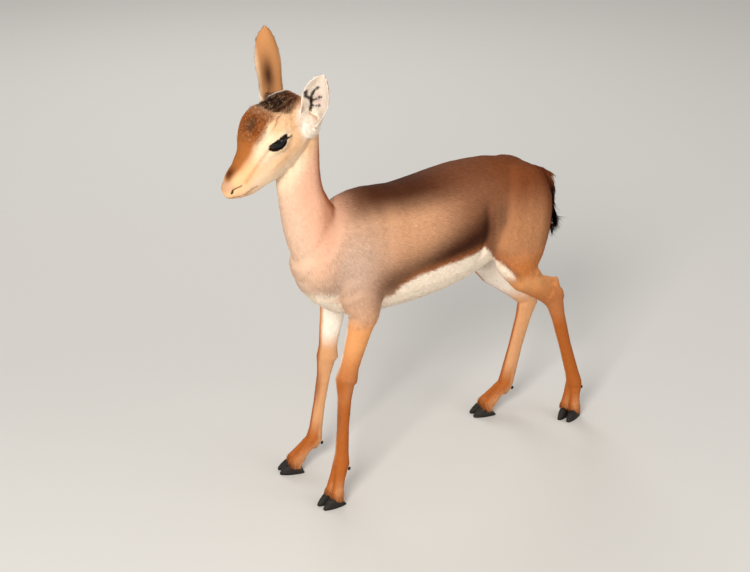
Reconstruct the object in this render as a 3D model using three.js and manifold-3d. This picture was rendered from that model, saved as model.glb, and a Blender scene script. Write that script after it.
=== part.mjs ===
// A young gazelle standing at rest, at life size, in millimetres with +Z up.
// It faces -X, its left side is on -Y, and its eight hooves stand on the plane z = 0.
// The body is lofted and joined as one solid, then parted by thin cuts where a person would name a new part.
import * as THREE from "three";
import { mergeVertices } from "three/addons/utils/BufferGeometryUtils.js";
import Module from "manifold-3d";

const wasm = await Module();
wasm.setup();

// Driving sizes
const WITHERS = 440; // ground to the top of the shoulders
const GAP = 0.3; // clearance that touching pieces keep
const FRAME_SHIFT = [-110.7, 5.5, 0]; // from the foot of the withers to the middle of the footprint
const HEAD_POLL = [-66, 0, 572]; // back of the skull, where the head is carried
const HEAD_DROP = 36.3; // degrees that the nose points below level
const HEAD_TURN = 6.6; // degrees that the nose is turned to its left
const EYE_RADIUS = 14.3;
const EYE_AT = { s: 65.2, y: 23.5, h: 10 }; // along the head from the poll, out from the middle, above its axis
const EYE_FORWARD = 20; // degrees that the eye looks ahead of straight sideways
const EYE_LEVEL = 9; // degrees that the lids slope less than the face does
const LID = 2; // how far the lids stand over the eyeball
const EAR = { wall: 1.9, rim: 0.8 };
const HOOF = { width: 13.6, split: 1.2, top: 12.5, slope: 33 };

const LEFT = -1;
const RIGHT = 1;
const radians = THREE.MathUtils.degToRad;
const v3 = (x, y, z) => new THREE.Vector3(x, y, z);
const between = (a, b, share) => a.map((value, i) => value + (b[i] - value) * share);

// Closed solids

// A closed geometry as a solid that can be joined and cut.
function solid(geometry) {
  const bare = geometry.index ? geometry.toNonIndexed() : geometry.clone();
  bare.deleteAttribute("normal");
  bare.deleteAttribute("uv");
  const merged = mergeVertices(bare, 1e-4);
  const mesh = new wasm.Mesh({
    numProp: 3,
    vertProperties: new Float32Array(merged.attributes.position.array),
    triVerts: new Uint32Array(merged.index.array),
  });
  return new wasm.Manifold(mesh);
}

const join = (pieces) => pieces.reduce((sum, piece) => sum.add(piece));

// The largest closed surface of a solid, which drops loose scraps left by a cut.
function largest(body) {
  return body.decompose().reduce((a, b) => (b.volume() > a.volume() ? b : a));
}

// Triangles over a stack of rings, closed by one point at each end.
function coverRings(rings, first, last) {
  const around = rings[0].length;
  const positions = [first, ...rings.flat(), last].flatMap((p) => [p.x, p.y, p.z]);
  const at = (ring, i) => 1 + ring * around + (i % around);
  const end = 1 + rings.length * around;
  const faces = [];
  for (let i = 0; i < around; i += 1) {
    faces.push(0, at(0, i + 1), at(0, i));
    for (let r = 0; r + 1 < rings.length; r += 1) {
      faces.push(at(r, i), at(r, i + 1), at(r + 1, i + 1));
      faces.push(at(r, i), at(r + 1, i + 1), at(r + 1, i));
    }
    faces.push(at(rings.length - 1, i), at(rings.length - 1, i + 1), end);
  }
  const geometry = new THREE.BufferGeometry();
  geometry.setAttribute("position", new THREE.Float32BufferAttribute(positions, 3));
  geometry.setIndex(faces);
  return geometry;
}

// Rounded sections along a smooth spine. Each station is
// [x, y, z, half width, radius above, radius below, power above, power below], where "above" is the spine's
// direction crossed with +Y. The powers square off a section: 2 is an ellipse. `bulge` gives how far the
// surface swells at a point. The result is a function of the place along the spine and the turn round it.
function surfaceAlong(stations, bulge = () => 0) {
  const smooth = new THREE.CatmullRomCurve3(stations.map((s) => v3(s[0], s[1], s[2])), false, "centripetal");
  const even = (pick) => new THREE.CatmullRomCurve3(stations.map(pick), false, "catmullrom", 0.5);
  const radii = even((s) => v3(s[3], s[4], s[5] ?? s[4]));
  const powers = even((s) => v3(s[6] ?? 2, s[7] ?? s[6] ?? 2, 0));
  return (share, turn, shrink = 1, reach = 0) => {
    const along = smooth.getTangent(share).normalize();
    const across = v3(0, 1, 0).addScaledVector(along, -along.y).normalize();
    const up = along.clone().cross(across);
    const centre = smooth.getPoint(share).addScaledVector(along, reach);
    const size = radii.getPoint(share);
    const power = powers.getPoint(share);
    const [c, s] = [Math.cos(turn), Math.sin(turn)];
    const bend = 2 / (s > 0 ? power.x : power.y);
    const out = Math.sign(c) * Math.abs(c) ** bend * size.x * shrink;
    const rise = Math.sign(s) * Math.abs(s) ** bend * (s > 0 ? size.y : size.z) * shrink;
    const point = centre.clone().addScaledVector(across, out).addScaledVector(up, rise);
    const normal = point.clone().sub(centre).normalize();
    return { centre, along, normal, point: point.addScaledVector(normal, bulge(point) * shrink) };
  };
}

// A closed body over such a surface, with domed ends that reach capStart and capEnd past it.
function loft(stations, { around = 20, steps = 2, capStart = 0, capEnd = 0, capRings = 2, bulge } = {}) {
  const surface = surfaceAlong(stations, bulge);
  const spans = (stations.length - 1) * steps;
  const ring = (share, shrink, reach) => Array.from(
    { length: around },
    (_, i) => surface(share, (2 * Math.PI * i) / around, shrink, reach).point,
  );
  const cap = (share, reach) => {
    const rings = [];
    for (let k = 1; k <= capRings && reach !== 0; k += 1) {
      const a = (Math.PI / 2) * (k / (capRings + 1));
      rings.push(ring(share, Math.cos(a), reach * Math.sin(a)));
    }
    return rings;
  };
  const rings = [
    ...cap(0, -capStart).reverse(),
    ...Array.from({ length: spans + 1 }, (_, k) => ring(k / spans, 1, 0)),
    ...cap(1, capEnd),
  ];
  return solid(coverRings(rings, surface(0, 0, 0, -capStart).centre, surface(1, 0, 0, capEnd).centre));
}

// How far a surface swells at a point, from hills of [[x, out from the middle, z], [reach in x, y, z], rise].
// Both sides of the body have them. A hollow has a rise below zero.
function hills(list) {
  return (point) => list.reduce((sum, [at, reach, rise]) => {
    const far = ((point.x - at[0]) / reach[0]) ** 2
      + ((Math.abs(point.y) - at[1]) / reach[1]) ** 2
      + ((point.z - at[2]) / reach[2]) ** 2;
    return sum + rise * Math.exp(-far);
  }, 0);
}

function ellipsoid(centre, radii, turn = [0, 0, 0], around = 12) {
  const ball = new THREE.SphereGeometry(1, around, Math.round(around * 0.6));
  ball.scale(...radii);
  const spin = new THREE.Euler(...turn.map(radians), "ZYX");
  ball.applyMatrix4(new THREE.Matrix4().makeRotationFromEuler(spin));
  ball.translate(...centre);
  return solid(ball);
}

// Cuts

// Parts a body by a plane through a point: [the side that the normal points to, the other side].
function part(body, point, normal) {
  const n = v3(...normal).normalize();
  const reach = n.dot(v3(...point));
  const other = n.clone().negate();
  return [
    largest(body.trimByPlane(n.toArray(), reach + GAP / 2)),
    largest(body.trimByPlane(other.toArray(), -reach + GAP / 2)),
  ];
}

// Takes what a body has inside a block, that is itself trimmed by planes: [that stretch, the rest].
function carve(body, { low, high, planes = [] }) {
  const block = (grow) => {
    const size = high.map((value, i) => value - low[i] + 2 * grow);
    const box = new THREE.BoxGeometry(...size);
    box.translate(...high.map((value, i) => (value + low[i]) / 2));
    return planes.reduce((sum, { point, normal }) => {
      const n = v3(...normal).normalize();
      return sum.trimByPlane(n.toArray(), n.dot(v3(...point)) - grow);
    }, solid(box));
  };
  return [largest(body.intersect(block(0))), largest(body.subtract(block(GAP)))];
}

// Trunk and neck

function makeTorso() {
  const WIDEST = 0.46; // share of the depth, from the belly, where the trunk is widest
  // x, height of the back, height of the belly, half width, power of the back
  const sections = [
    [-66, 384, 322, 29, 2],
    [-42, 414, 286, 43, 2],
    [-12, 434, 263, 50, 1.8],
    [25, WITHERS, 254, 56, 1.75],
    [80, 435, 253, 61, 1.9],
    [145, 438, 258, 64, 2.1],
    [205, 445, 271, 59, 2.1],
    [260, 443, 293, 50, 2],
    [308, 428, 316, 42, 2],
    [340, 408, 334, 31, 2],
  ];
  const stations = sections.map(([x, back, belly, width, power]) => {
    const level = belly + WIDEST * (back - belly);
    return [x, 0, level, width, back - level, level - belly, power, 2.15];
  });
  const muscles = hills([
    [[-2, 44, 378], [26, 30, 42], 5], // shoulder blade
    [[-46, 32, 322], [20, 22, 24], 4.5], // point of the shoulder
    [[8, 52, 306], [30, 26, 26], 5], // upper arm
    [[-20, 46, 350], [14, 22, 40], -2], // hollow before the blade
    [[228, 34, 432], [15, 15, 12], 3], // point of the hip
    [[218, 56, 318], [26, 26, 30], -5], // flank
  ]);
  return loft(stations, { around: 22, capStart: 11, capEnd: 9, bulge: muscles });
}

function makeNeck() {
  return loft(
    [
      [-16, 0, 340, 40, 46, 44],
      [-36, 0, 376, 37, 48, 43],
      [-53, 0, 412, 31, 42.5, 38],
      [-65.5, 0, 448, 26.5, 35, 33],
      [-69.5, 0, 485, 25, 33, 32],
      [-68.5, 0, 520, 25, 32, 30],
      [-68.5, 0, 548, 22, 24, 27],
      [-80, 0, 578, 16, 16, 14],
    ],
    { around: 18, capEnd: 10, capRings: 1 },
  );
}

// Head, built level in its own frame: the poll at x = 0, the nose towards -X, the crown up

const CROWN_POWER = 2.35;
const JAW_POWER = 1.8;
const HEAD_SECTIONS = [
  // s from the poll, crown, jaw, level of the widest part, half width
  [151, 8, -13.5, -3.5, 10.5],
  [143, 13.5, -21, -6, 14.2],
  [131, 16.5, -30, -8, 16.4],
  [118, 19, -38, -10, 18],
  [104, 22.5, -45, -9, 21],
  [91, 28.5, -51.5, -7, 25.5],
  [77, 36, -56.5, -3, 30],
  [62, 42, -56, 0, 32],
  [47, 43, -54.5, 0, 32],
  [33, 41, -51, 1, 31.5],
  [19, 38, -43, 3, 30],
  [5, 31, -30, 4, 26],
];
const swellFace = hills([
  [[-58, 27, 22], [20, 12, 11], 5], // brow
  [[-60, 14, 44], [13, 12, 16], 6], // pad of the horn bud
  [[-64, 30, -15], [24, 12, 8], 2.5], // cheek bone
  [[-36, 26, -26], [22, 14, 20], 3], // jaw muscle
  [[-91, 24, -6], [9, 10, 7], -2.5], // hollow before the eye
  [[-22, 28, 20], [12, 10, 12], -2], // temple
  [[-137, 13, -15], [10, 8, 7], 2], // upper lip
  [[-147, 9, 0], [7, 6, 6], 2], // wing of the nostril
]);
const headStations = HEAD_SECTIONS.map(([s, crown, jaw, level, width]) => [
  -s, 0, level, width, crown - level, level - jaw, CROWN_POWER, JAW_POWER,
]);

// How far out the cheek's surface is, at a place along the head and a height above its axis.
function cheek(s, h) {
  const after = Math.max(1, HEAD_SECTIONS.findIndex((row) => row[0] <= s));
  const [a, b] = [HEAD_SECTIONS[after - 1], HEAD_SECTIONS[after]];
  const [, crown, jaw, level, width] = between(a, b, (a[0] - s) / (a[0] - b[0]));
  const above = h > level;
  const power = above ? CROWN_POWER : JAW_POWER;
  const reach = Math.min(1, Math.abs((h - level) / (above ? crown - level : level - jaw)));
  const out = width * (1 - reach ** power) ** (1 / power);
  return out + swellFace(v3(-s, out, h));
}

const headPose = new THREE.Matrix4()
  .makeTranslation(...HEAD_POLL)
  .multiply(new THREE.Matrix4().makeRotationZ(radians(HEAD_TURN)))
  .multiply(new THREE.Matrix4().makeRotationY(radians(-HEAD_DROP)));

// The frame of one eye: x runs back along the lids, y up, and z out of the socket on the right side but into it
// on the left, so that both frames are true rotations.
function eyeFrame(side) {
  const UPWARD = 0.08;
  const out = v3(-Math.sin(radians(EYE_FORWARD)), side * Math.cos(radians(EYE_FORWARD)), UPWARD).normalize();
  const up = v3(0, 0, 1).addScaledVector(out, -out.z).normalize();
  up.applyAxisAngle(out, side * radians(EYE_LEVEL));
  const depth = out.clone().multiplyScalar(side);
  const back = up.clone().cross(depth);
  const centre = v3(-EYE_AT.s, side * EYE_AT.y, EYE_AT.h);
  return new THREE.Matrix4().makeBasis(back, up, depth).setPosition(centre);
}

// The opening between the lids, an almond whose front end is the narrow one.
function lidOpening(side) {
  const [front, back, top, bottom] = [-15.5, 14.2, 9.8, -6.6];
  const shape = new THREE.Shape();
  shape.moveTo(front, -1.5);
  shape.bezierCurveTo(-11, 2.5, -6, top, 2.5, top);
  shape.bezierCurveTo(8, top, back, 5, back, 1.5);
  shape.bezierCurveTo(back, -4, 6, bottom, -1, bottom);
  shape.bezierCurveTo(-6, bottom, -12, -4.5, front, -1.5);
  const DEPTH = 30;
  const cutter = new THREE.ExtrudeGeometry(shape, { depth: DEPTH, bevelEnabled: false, curveSegments: 4 });
  if (side === LEFT) {
    cutter.translate(0, 0, -DEPTH);
  }
  cutter.applyMatrix4(eyeFrame(side));
  return solid(cutter);
}

// The groove at the front corner of the eye, from the lids down the face.
function tearGroove(side) {
  const path = [
    // s, height, radius
    [78, 7.5, 1.8],
    [83, 9.5, 1.7],
    [88, 11, 0.9],
  ];
  const stations = path.map(([s, h, r]) => [-s, side * (cheek(s, h) + 0.4), h, r, r]);
  return loft(stations, { around: 8, steps: 1, capStart: 1.5, capEnd: 1, capRings: 1 });
}

function eyeball(side, radius) {
  const ball = new THREE.SphereGeometry(radius, 16, 9);
  ball.rotateX(Math.PI / 2);
  ball.applyMatrix4(eyeFrame(side));
  return solid(ball);
}

// The slit of one nostril, deepest and widest at its front.
function nostril(side) {
  const path = [
    // s, height, radius
    [152, -1.5, 2.2],
    [148, 1, 2.3],
    [143, 0.5, 1.5],
    [136.5, -1.5, 0.8],
  ];
  const stations = path.map(([s, h, r]) => [-s, side * cheek(s, h), h, r * 1.5, r, r]);
  return loft(stations, { around: 8, capStart: 2, capEnd: 1.5, capRings: 1 });
}

// The line of the closed lips, a groove from one corner round the front to the other.
function mouthLine() {
  const DEPTH = 1.1;
  const line = [
    // s, height
    [120, -21.5],
    [129, -17.5],
    [138, -15.5],
    [146, -13.2],
    [151, -10],
  ];
  const half = (side) => line.map(([s, h]) => v3(-s, side * cheek(s, h), h));
  const path = new THREE.CatmullRomCurve3([...half(LEFT), v3(-156.8, 0, -7.5), ...half(RIGHT).reverse()]);
  const section = new THREE.Shape().absarc(0, 0, DEPTH, 0, 2 * Math.PI);
  return solid(new THREE.ExtrudeGeometry(section, { extrudePath: path, steps: 20, curveSegments: 1 }));
}

// One flat, tapered lock of hair, from a point on a surface. It leans along `lie`, lifts off the surface along
// `normal` and bends back to it at its tip.
function hairLock({ root, normal, lie }, { length, width, lift, thick = 1.6, sink = 3 }) {
  const across = normal.clone().cross(lie).normalize();
  const at = (along, off) => root.clone().addScaledVector(lie, along * length).addScaledVector(normal, off);
  const SIDES = 4;
  // place along the lock, height, share of the width, share of the thickness
  const rows = [
    [-0.08, -sink, 0.8, 1],
    [0.3, lift * 0.6, 1, 1],
    [0.75, lift, 0.65, 0.7],
  ];
  const rings = rows.map(([along, off, wide, deep]) => Array.from({ length: SIDES }, (_, i) => {
    const turn = (2 * Math.PI * i) / SIDES;
    return at(along, off)
      .addScaledVector(across, (Math.cos(turn) * wide * width) / 2)
      .addScaledVector(normal, (Math.sin(turn) * deep * thick) / 2);
  }));
  return solid(coverRings(rings, at(-0.12, -sink), at(1, lift * 0.75)));
}

// The fluffy forelock of a fawn: locks that fan back and outwards from a whorl between the eyes.
function makeForelock() {
  const surface = surfaceAlong(headStations, swellFace);
  const last = HEAD_SECTIONS.length - 1;
  const ROWS = [
    // place along the head, locks across, half fan in degrees, length, lift
    [5.4, 4, 26, 19, 1.6],
    [5.9, 5, 38, 21, 2.2],
    [6.4, 4, 34, 22, 3],
    [6.9, 5, 42, 22, 3.8],
    [7.45, 5, 36, 22, 4],
  ];
  return ROWS.flatMap(([place, count, fan, length, lift], row) => Array.from({ length: count }, (_, i) => {
    const turn = 90 + fan * ((2 * i) / (count - 1) - 1);
    const { point, normal, along } = surface(place / last, radians(turn));
    const out = v3(0, Math.max(-1, Math.min(1, point.y / 24)), 0);
    const lie = along.clone().addScaledVector(out, 0.6).addScaledVector(normal, -along.dot(normal)).normalize();
    const vary = 1 + 0.14 * Math.sin(row * 5.1 + i * 2.3);
    return hairLock({ root: point, normal, lie }, { length: length * vary, width: 11, lift: lift * vary });
  }));
}

// The skull with its flesh; grown by `clear`, it is the hollow that an ear fits round.
function makeSkull(clear = 0) {
  const bulge = (point) => swellFace(point) + clear;
  return loft(headStations, { around: 28, capStart: 6, capEnd: 10, bulge });
}

function makeHead() {
  const forms = [
    makeSkull(),
    eyeball(LEFT, EYE_RADIUS + LID),
    eyeball(RIGHT, EYE_RADIUS + LID),
    ...makeForelock(),
  ];
  let head = join(forms);
  for (const side of [LEFT, RIGHT]) {
    const cuts = [nostril(side), lidOpening(side), tearGroove(side), eyeball(side, EYE_RADIUS + GAP)];
    head = cuts.reduce((sum, cut) => sum.subtract(cut), head);
  }
  return head.subtract(mouthLine()).transform(headPose.elements);
}

// A cupped ear: a leaf of skin rolled about its length, a tube at the root and a shallow cup at the tip.
function makeEar({ root, tip, opening, length, tube, sheet: widest }) {
  const [ROLL_ROOT, ROLL_TIP] = [265, 150]; // degrees of a full turn that the sheet covers
  const { lerp, smoothstep } = THREE.MathUtils;
  const base = v3(...root);
  const axis = v3(...tip).sub(base).normalize();
  const open = v3(...opening).addScaledVector(axis, -v3(...opening).dot(axis)).normalize();
  const across = axis.clone().cross(open);
  const rows = 12;
  const columns = 10;
  const roll = (u) => radians(lerp(ROLL_ROOT, ROLL_TIP, smoothstep(u, 0, 0.6)));
  const rootSheet = tube * radians(ROLL_ROOT);
  const width = (u) => {
    const leaf = lerp(rootSheet, widest, smoothstep(u, 0, 0.45));
    const taper = Math.max(0, (u - 0.45) / 0.55);
    return Math.max(1.5, leaf * Math.max(0, 1 - taper ** 2) ** 0.55);
  };
  const place = (u, v, inner) => {
    const radius = width(u) / roll(u);
    const wall = lerp(EAR.wall, EAR.rim, Math.max(u, v * v));
    const r = radius - (inner ? Math.min(wall, radius * 0.5) : 0);
    const turn = (roll(u) / 2) * v;
    const lean = 5 * u * u - 3 * Math.sin(Math.PI * u);
    return base.clone()
      .addScaledVector(axis, u * length)
      .addScaledVector(across, r * Math.sin(turn))
      .addScaledVector(open, radius - r * Math.cos(turn) - tube + lean);
  };
  const sheet = (inner) => {
    const points = [];
    for (let i = 0; i <= rows; i += 1) {
      for (let j = 0; j <= columns; j += 1) {
        points.push(place(i / rows, (2 * j) / columns - 1, inner));
      }
    }
    return points;
  };
  const points = [...sheet(false), ...sheet(true)];
  const stride = columns + 1;
  const inside = (rows + 1) * stride;
  const faces = [];
  const quad = (a, b, c, d) => faces.push(a, b, c, a, c, d);
  for (let i = 0; i < rows; i += 1) {
    for (let j = 0; j < columns; j += 1) {
      const a = i * stride + j;
      quad(a, a + stride, a + 1 + stride, a + 1);
      const b = inside + a;
      faces.push(b, b + 1 + stride, b + stride, b, b + 1, b + 1 + stride);
    }
    const near = i * stride;
    const far = near + columns;
    quad(near, inside + near, inside + near + stride, near + stride);
    quad(far + stride, inside + far + stride, inside + far, far);
  }
  for (let j = 0; j < columns; j += 1) {
    const top = rows * stride + j;
    quad(j + 1, inside + j + 1, inside + j, j);
    quad(top, inside + top, inside + top + 1, top + 1);
  }
  const geometry = new THREE.BufferGeometry();
  geometry.setAttribute("position", new THREE.Float32BufferAttribute(points.flatMap((p) => p.toArray()), 3));
  geometry.setIndex(faces);
  return { made: solid(geometry), root: base.toArray(), axis: axis.toArray(), tube };
}

// Legs, from the ground up; joints are [x, y, z]

const LEGS = {
  fore_left: {
    side: LEFT, hind: false, toeOut: 2, cannon: [8, 9], ground: [-62, -60], fetlock: [-43, -56.5, 58],
    knee: [-30, -51, 183], forearm: [-12, -48, 228], elbow: [6, -45, 270], top: [2, -38, 330],
  },
  fore_right: {
    side: RIGHT, hind: false, toeOut: 20, cannon: [8, 9], ground: [-56, 56], fetlock: [-17, 54, 43],
    knee: [5, 51, 170], forearm: [10, 48, 214], elbow: [18, 45, 260], top: [10, 38, 325],
  },
  hind_left: {
    side: LEFT, hind: true, toeOut: 24, cannon: [8, 10], ground: [388, -43], fetlock: [398, -41, 56],
    hock: [354, -36, 209], gaskin: [312, -39, 241], stifle: [278, -41, 276],
  },
  hind_right: {
    side: RIGHT, hind: true, toeOut: 14, cannon: [8.8, 12], ground: [286, 42], fetlock: [327, 39, 42],
    hock: [365, 35, 180], gaskin: [318, 38, 222], stifle: [284, 41, 262],
  },
};

// Where a foot stands: its own x runs back from the toe, and z is up from the ground.
function footPose({ side, toeOut, ground }) {
  const turn = new THREE.Matrix4().makeRotationZ(side * radians(-toeOut));
  return new THREE.Matrix4().makeTranslation(ground[0], ground[1], 0).multiply(turn);
}

// The slanting plane of the hairline above the hooves, as a point and a normal that points up the leg.
function coronet(leg) {
  const pose = footPose(leg);
  const normal = v3(Math.sin(radians(HOOF.slope)), 0, Math.cos(radians(HOOF.slope))).transformDirection(pose);
  return { point: v3(2, 0, HOOF.top).applyMatrix4(pose).toArray(), normal: normal.toArray() };
}

const hoofOffset = (inner) => ((HOOF.width + HOOF.split) / 2) * inner;

// One of the two toes, from inside the hoof up to the fetlock.
function digit(leg, inner) {
  const pose = footPose(leg);
  const foot = (x, z) => v3(x, hoofOffset(inner), z).applyMatrix4(pose).toArray();
  const out = v3(0, inner, 0).transformDirection(pose).toArray();
  const top = leg.fetlock.map((value, i) => value + out[i] * 4.2);
  return loft(
    [
      [...foot(3, 3.5), 6.4, 9, 12.5],
      [...foot(4, 11), 6.9, 10, 11],
      [...foot(6, 18), 7, 10, 9],
      [...between(foot(6, 18), top, 0.55), 6.8, 9, 7.5],
      [...top, 7.6, 10],
    ],
    { around: 8, steps: 1, capEnd: 5, capRings: 1 },
  );
}

function makeHoof(leg, inner) {
  const ACROSS = 6;
  const SQUARE = 0.7; // how boxy the wall is
  // x back from the middle of the foot, height, half width
  const profile = [
    [17.5, 8, 5],
    [11, 12, 6.5],
    [1, 17, 6.8],
    [-6, 15, 6.2],
    [-12.5, 9.2, 4.6],
    [-17.5, 3.5, 2.4],
  ];
  const rings = profile.map(([x, height, half]) => {
    const ring = [];
    for (let i = 0; i <= ACROSS; i += 1) {
      const a = Math.PI * (1 - i / ACROSS);
      const out = Math.sign(Math.cos(a)) * Math.abs(Math.cos(a)) ** SQUARE * half;
      const rise = i === 0 ? 0 : Math.sin(a) ** SQUARE * height;
      ring.push(v3(x, hoofOffset(inner) + out, rise));
    }
    return ring;
  });
  const middle = (ring) => v3(ring[0].x, hoofOffset(inner), ring[3].z / 2);
  const wall = coverRings(rings, middle(rings[0]), middle(rings[rings.length - 1]));
  wall.applyMatrix4(footPose(leg));
  const { point, normal } = coronet(leg);
  return largest(solid(wall).trimByPlane(normal.map((n) => -n), -v3(...normal).dot(v3(...point)) + GAP / 2));
}

// One of the two small claws behind the fetlock; grown by `clear`, it is the socket that the claw sits in.
function dewclaw(leg, inner, clear = 0) {
  const [x, y, z] = leg.fetlock;
  const radii = [3.3, 2.4, 4.6].map((r) => r + clear);
  return ellipsoid([x + 11.5, y + inner * 6, z - 9], radii, [0, 30, 0], 7);
}

function lowerLeg(leg) {
  const joint = leg.hind ? leg.hock : leg.knee;
  const above = leg.hind ? leg.gaskin : leg.forearm;
  const [wide, deep] = leg.cannon;
  const [jointWide, jointDeep] = leg.hind ? [12, 18] : [13.5, 15];
  return [
    loft(
      [
        [...between(leg.fetlock, joint, -0.08), 9.5, 9.5],
        [...leg.fetlock, 11.5, 11.5, 13],
        [...between(leg.fetlock, joint, 0.14), wide + 1, deep, deep + 2],
        [...between(leg.fetlock, joint, 0.45), wide, deep],
        [...between(leg.fetlock, joint, 0.78), wide + 1, deep + 1.5],
        [...between(leg.fetlock, joint, 0.92), wide + 3, deep + 4.5],
        [...joint, jointWide, jointDeep],
        [...between(joint, above, 0.3), 12.5, 14],
      ],
      { around: 14, steps: 1, capStart: 6, capEnd: 8, capRings: 1 },
    ),
    digit(leg, LEFT),
    digit(leg, RIGHT),
  ];
}

function foreLeg(leg) {
  const { knee, forearm, elbow, top } = leg;
  const joints = hills([
    [[elbow[0] + 22, Math.abs(elbow[1]), elbow[2] + 14], [13, 16, 14], 4], // point of the elbow
    [[knee[0] + 13, Math.abs(knee[1]), knee[2] - 2], [8, 10, 11], 4], // pad behind the knee
  ]);
  const upper = loft(
    [
      [...knee, 13.5, 15],
      [...between(knee, forearm, 0.4), 12.5, 14],
      [...forearm, 14, 17, 16],
      [...between(forearm, elbow, 0.6), 16, 22, 18],
      [...elbow, 18, 29, 22],
      [...between(elbow, top, 0.5), 18, 36, 31],
      [...top, 14, 36, 32],
    ],
    { around: 16, capStart: 8, capEnd: 14, capRings: 1, bulge: joints },
  );
  return join([upper, ...lowerLeg(leg)]);
}

function hindLeg(leg) {
  const { side, hock, gaskin, stifle } = leg;
  const step = (stifle[0] - LEGS.hind_left.stifle[0]) / 2;
  const thigh = loft(
    [
      [268 + step, side * 40, stifle[2] - 6, 21, 27, 39],
      [280 + step, side * 37.5, 302, 24.5, 46, 50],
      [288 + step / 2, side * 33, 342, 28, 56, 56],
      [296, side * 27, 382, 28, 56, 52],
      [302, side * 19, 412, 22, 38, 34],
    ],
    { around: 14, capStart: 10, capEnd: 14, capRings: 1 },
  );
  const shank = loft(
    [
      [...between(hock, leg.fetlock, 0.05), 10.5, 17, 17],
      [...hock, 11.5, 19, 19],
      [...between(hock, gaskin, 0.4), 11, 17, 16],
      [...gaskin, 15, 20, 18],
      [...stifle, 22, 30, 33],
      [...between(stifle, [284, side * 38, 320], 0.5), 23, 34, 36],
    ],
    { around: 14, capStart: 8, capEnd: 10, capRings: 1 },
  );
  // The heel bone stands up behind the hock, and its tendon runs from there to the back of the shank.
  const [HEEL_UP, HEEL_BACK] = [28, 9];
  const up = v3(...hock).sub(v3(...leg.fetlock)).normalize();
  const rise = [up.x * HEEL_UP + up.z * HEEL_BACK, 0, up.z * HEEL_UP - up.x * HEEL_BACK];
  const heel = (share) => hock.map((value, i) => value + share * rise[i]);
  const heelBone = loft(
    [
      [...heel(0), 9.5, 13, 17],
      [...heel(0.6), 7.5, 11],
      [...heel(1), 5.5, 6.5],
    ],
    { around: 8, steps: 1, capStart: 6, capEnd: 4, capRings: 1 },
  );
  const tendon = loft(
    [
      [...heel(0.9), 4.5, 5],
      [gaskin[0] + 12, gaskin[1], gaskin[2] + 5, 7, 8],
      [gaskin[0] - 6, gaskin[1], gaskin[2] + 22, 14, 14],
    ],
    { around: 8, steps: 1, capStart: 4, capEnd: 8, capRings: 1 },
  );
  return join([thigh, shank, heelBone, tendon, ...lowerLeg(leg)]);
}

// Tail, with the flat locks of its dark brush rooted along it

const TAIL = { root: [338, 0, 401], bend: [360, 0, 391], middle: [369, 0, 354], tip: [366, 0, 316] };
const TAIL_CUT = { point: [356, 0, 393], normal: [0.88, 0, -0.47] };

function makeTail() {
  const dock = loft(
    [
      [...TAIL.root, 10, 9],
      [...TAIL.bend, 11, 7.5],
      [...TAIL.middle, 9.5, 6.5],
      [...TAIL.tip, 5, 4],
    ],
    { around: 12, capEnd: 7, capRings: 1 },
  );
  const spine = new THREE.CatmullRomCurve3([TAIL.bend, TAIL.middle, TAIL.tip].map((p) => v3(...p)));
  const LOCKS = 8;
  const locks = Array.from({ length: LOCKS }, (_, i) => {
    const turn = 1.9 * Math.sin(i * 2.4);
    const normal = v3(Math.cos(turn), Math.sin(turn), 0);
    const root = spine.getPoint(0.25 + 0.65 * (i / LOCKS)).addScaledVector(normal, 5);
    return hairLock({ root, normal, lie: v3(0.08, 0, -1).normalize() }, {
      length: 30 + 5 * Math.sin(i * 1.7), width: 7.5, lift: 3.2,
    });
  });
  return join([dock, ...locks]);
}

// The whole animal, then its parts

const COLOURS = {
  back: 0x9a6238, sand: 0xd9a877, leg: 0xc98a52, dark: 0x3a2a20, horn: 0x1d1a18, eye: 0x0b0908,
};
const animal = new THREE.Group();

// Adds one finished solid to the model as a named mesh.
function add(name, made, colour, roughness = 0.85) {
  const FINEST = 0.18; // detail smaller than this is left out
  const mesh = made.simplify(FINEST).getMesh();
  const geometry = new THREE.BufferGeometry();
  geometry.setAttribute("position", new THREE.BufferAttribute(new Float32Array(mesh.vertProperties), 3));
  geometry.setIndex(new THREE.BufferAttribute(new Uint32Array(mesh.triVerts), 1));
  const node = new THREE.Mesh(geometry, new THREE.MeshStandardMaterial({ color: colour, roughness, metalness: 0 }));
  node.name = name;
  animal.add(node);
}

const ears = {
  left: makeEar({
    root: [-69, -25, 547.5], tip: [-84, -81.5, 632], opening: [-0.8, -0.62, 0.1],
    length: 101, tube: 13, sheet: 54,
  }),
  right: makeEar({
    root: [-91, 24, 566], tip: [-90.5, 48, 675], opening: [0.25, 0.95, 0],
    length: 109, tube: 15, sheet: 50,
  }),
};
let body = join([
  makeTorso(),
  makeNeck(),
  makeHead(),
  foreLeg(LEGS.fore_left),
  foreLeg(LEGS.fore_right),
  hindLeg(LEGS.hind_left),
  hindLeg(LEGS.hind_right),
]);
let piece;
let rest;

// Head and ears
[rest, body] = part(body, [-62, 0, 512], [-0.805, 0, 0.594]);
const EAR_CUT = 20; // from the buried root of an ear to where it leaves the head
for (const [name, { made, root, axis, tube }] of Object.entries(ears)) {
  const flesh = [tube + 3, tube + 0.5, 17]; // half sizes of the rounded foot of an ear
  const place = root.map((value, i) => value + axis[i] * EAR_CUT);
  const [cup, stub] = part(made, place, axis);
  const skull = makeSkull(2 * GAP).transform(headPose.elements);
  add("ear_" + name, largest(cup.subtract(skull)), COLOURS.sand);
  const base = ellipsoid(root.map((value, i) => value + axis[i] * 4), flesh);
  rest = rest.add(stub).add(base.trimByPlane(axis.map((n) => -n), GAP / 2 - v3(...place).dot(v3(...axis))));
}
add("head", largest(rest), COLOURS.sand);
[piece, body] = part(body, [-26, 0, 440], [-0.885, 0, 0.466]);
add("neck", piece, COLOURS.sand);

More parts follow.
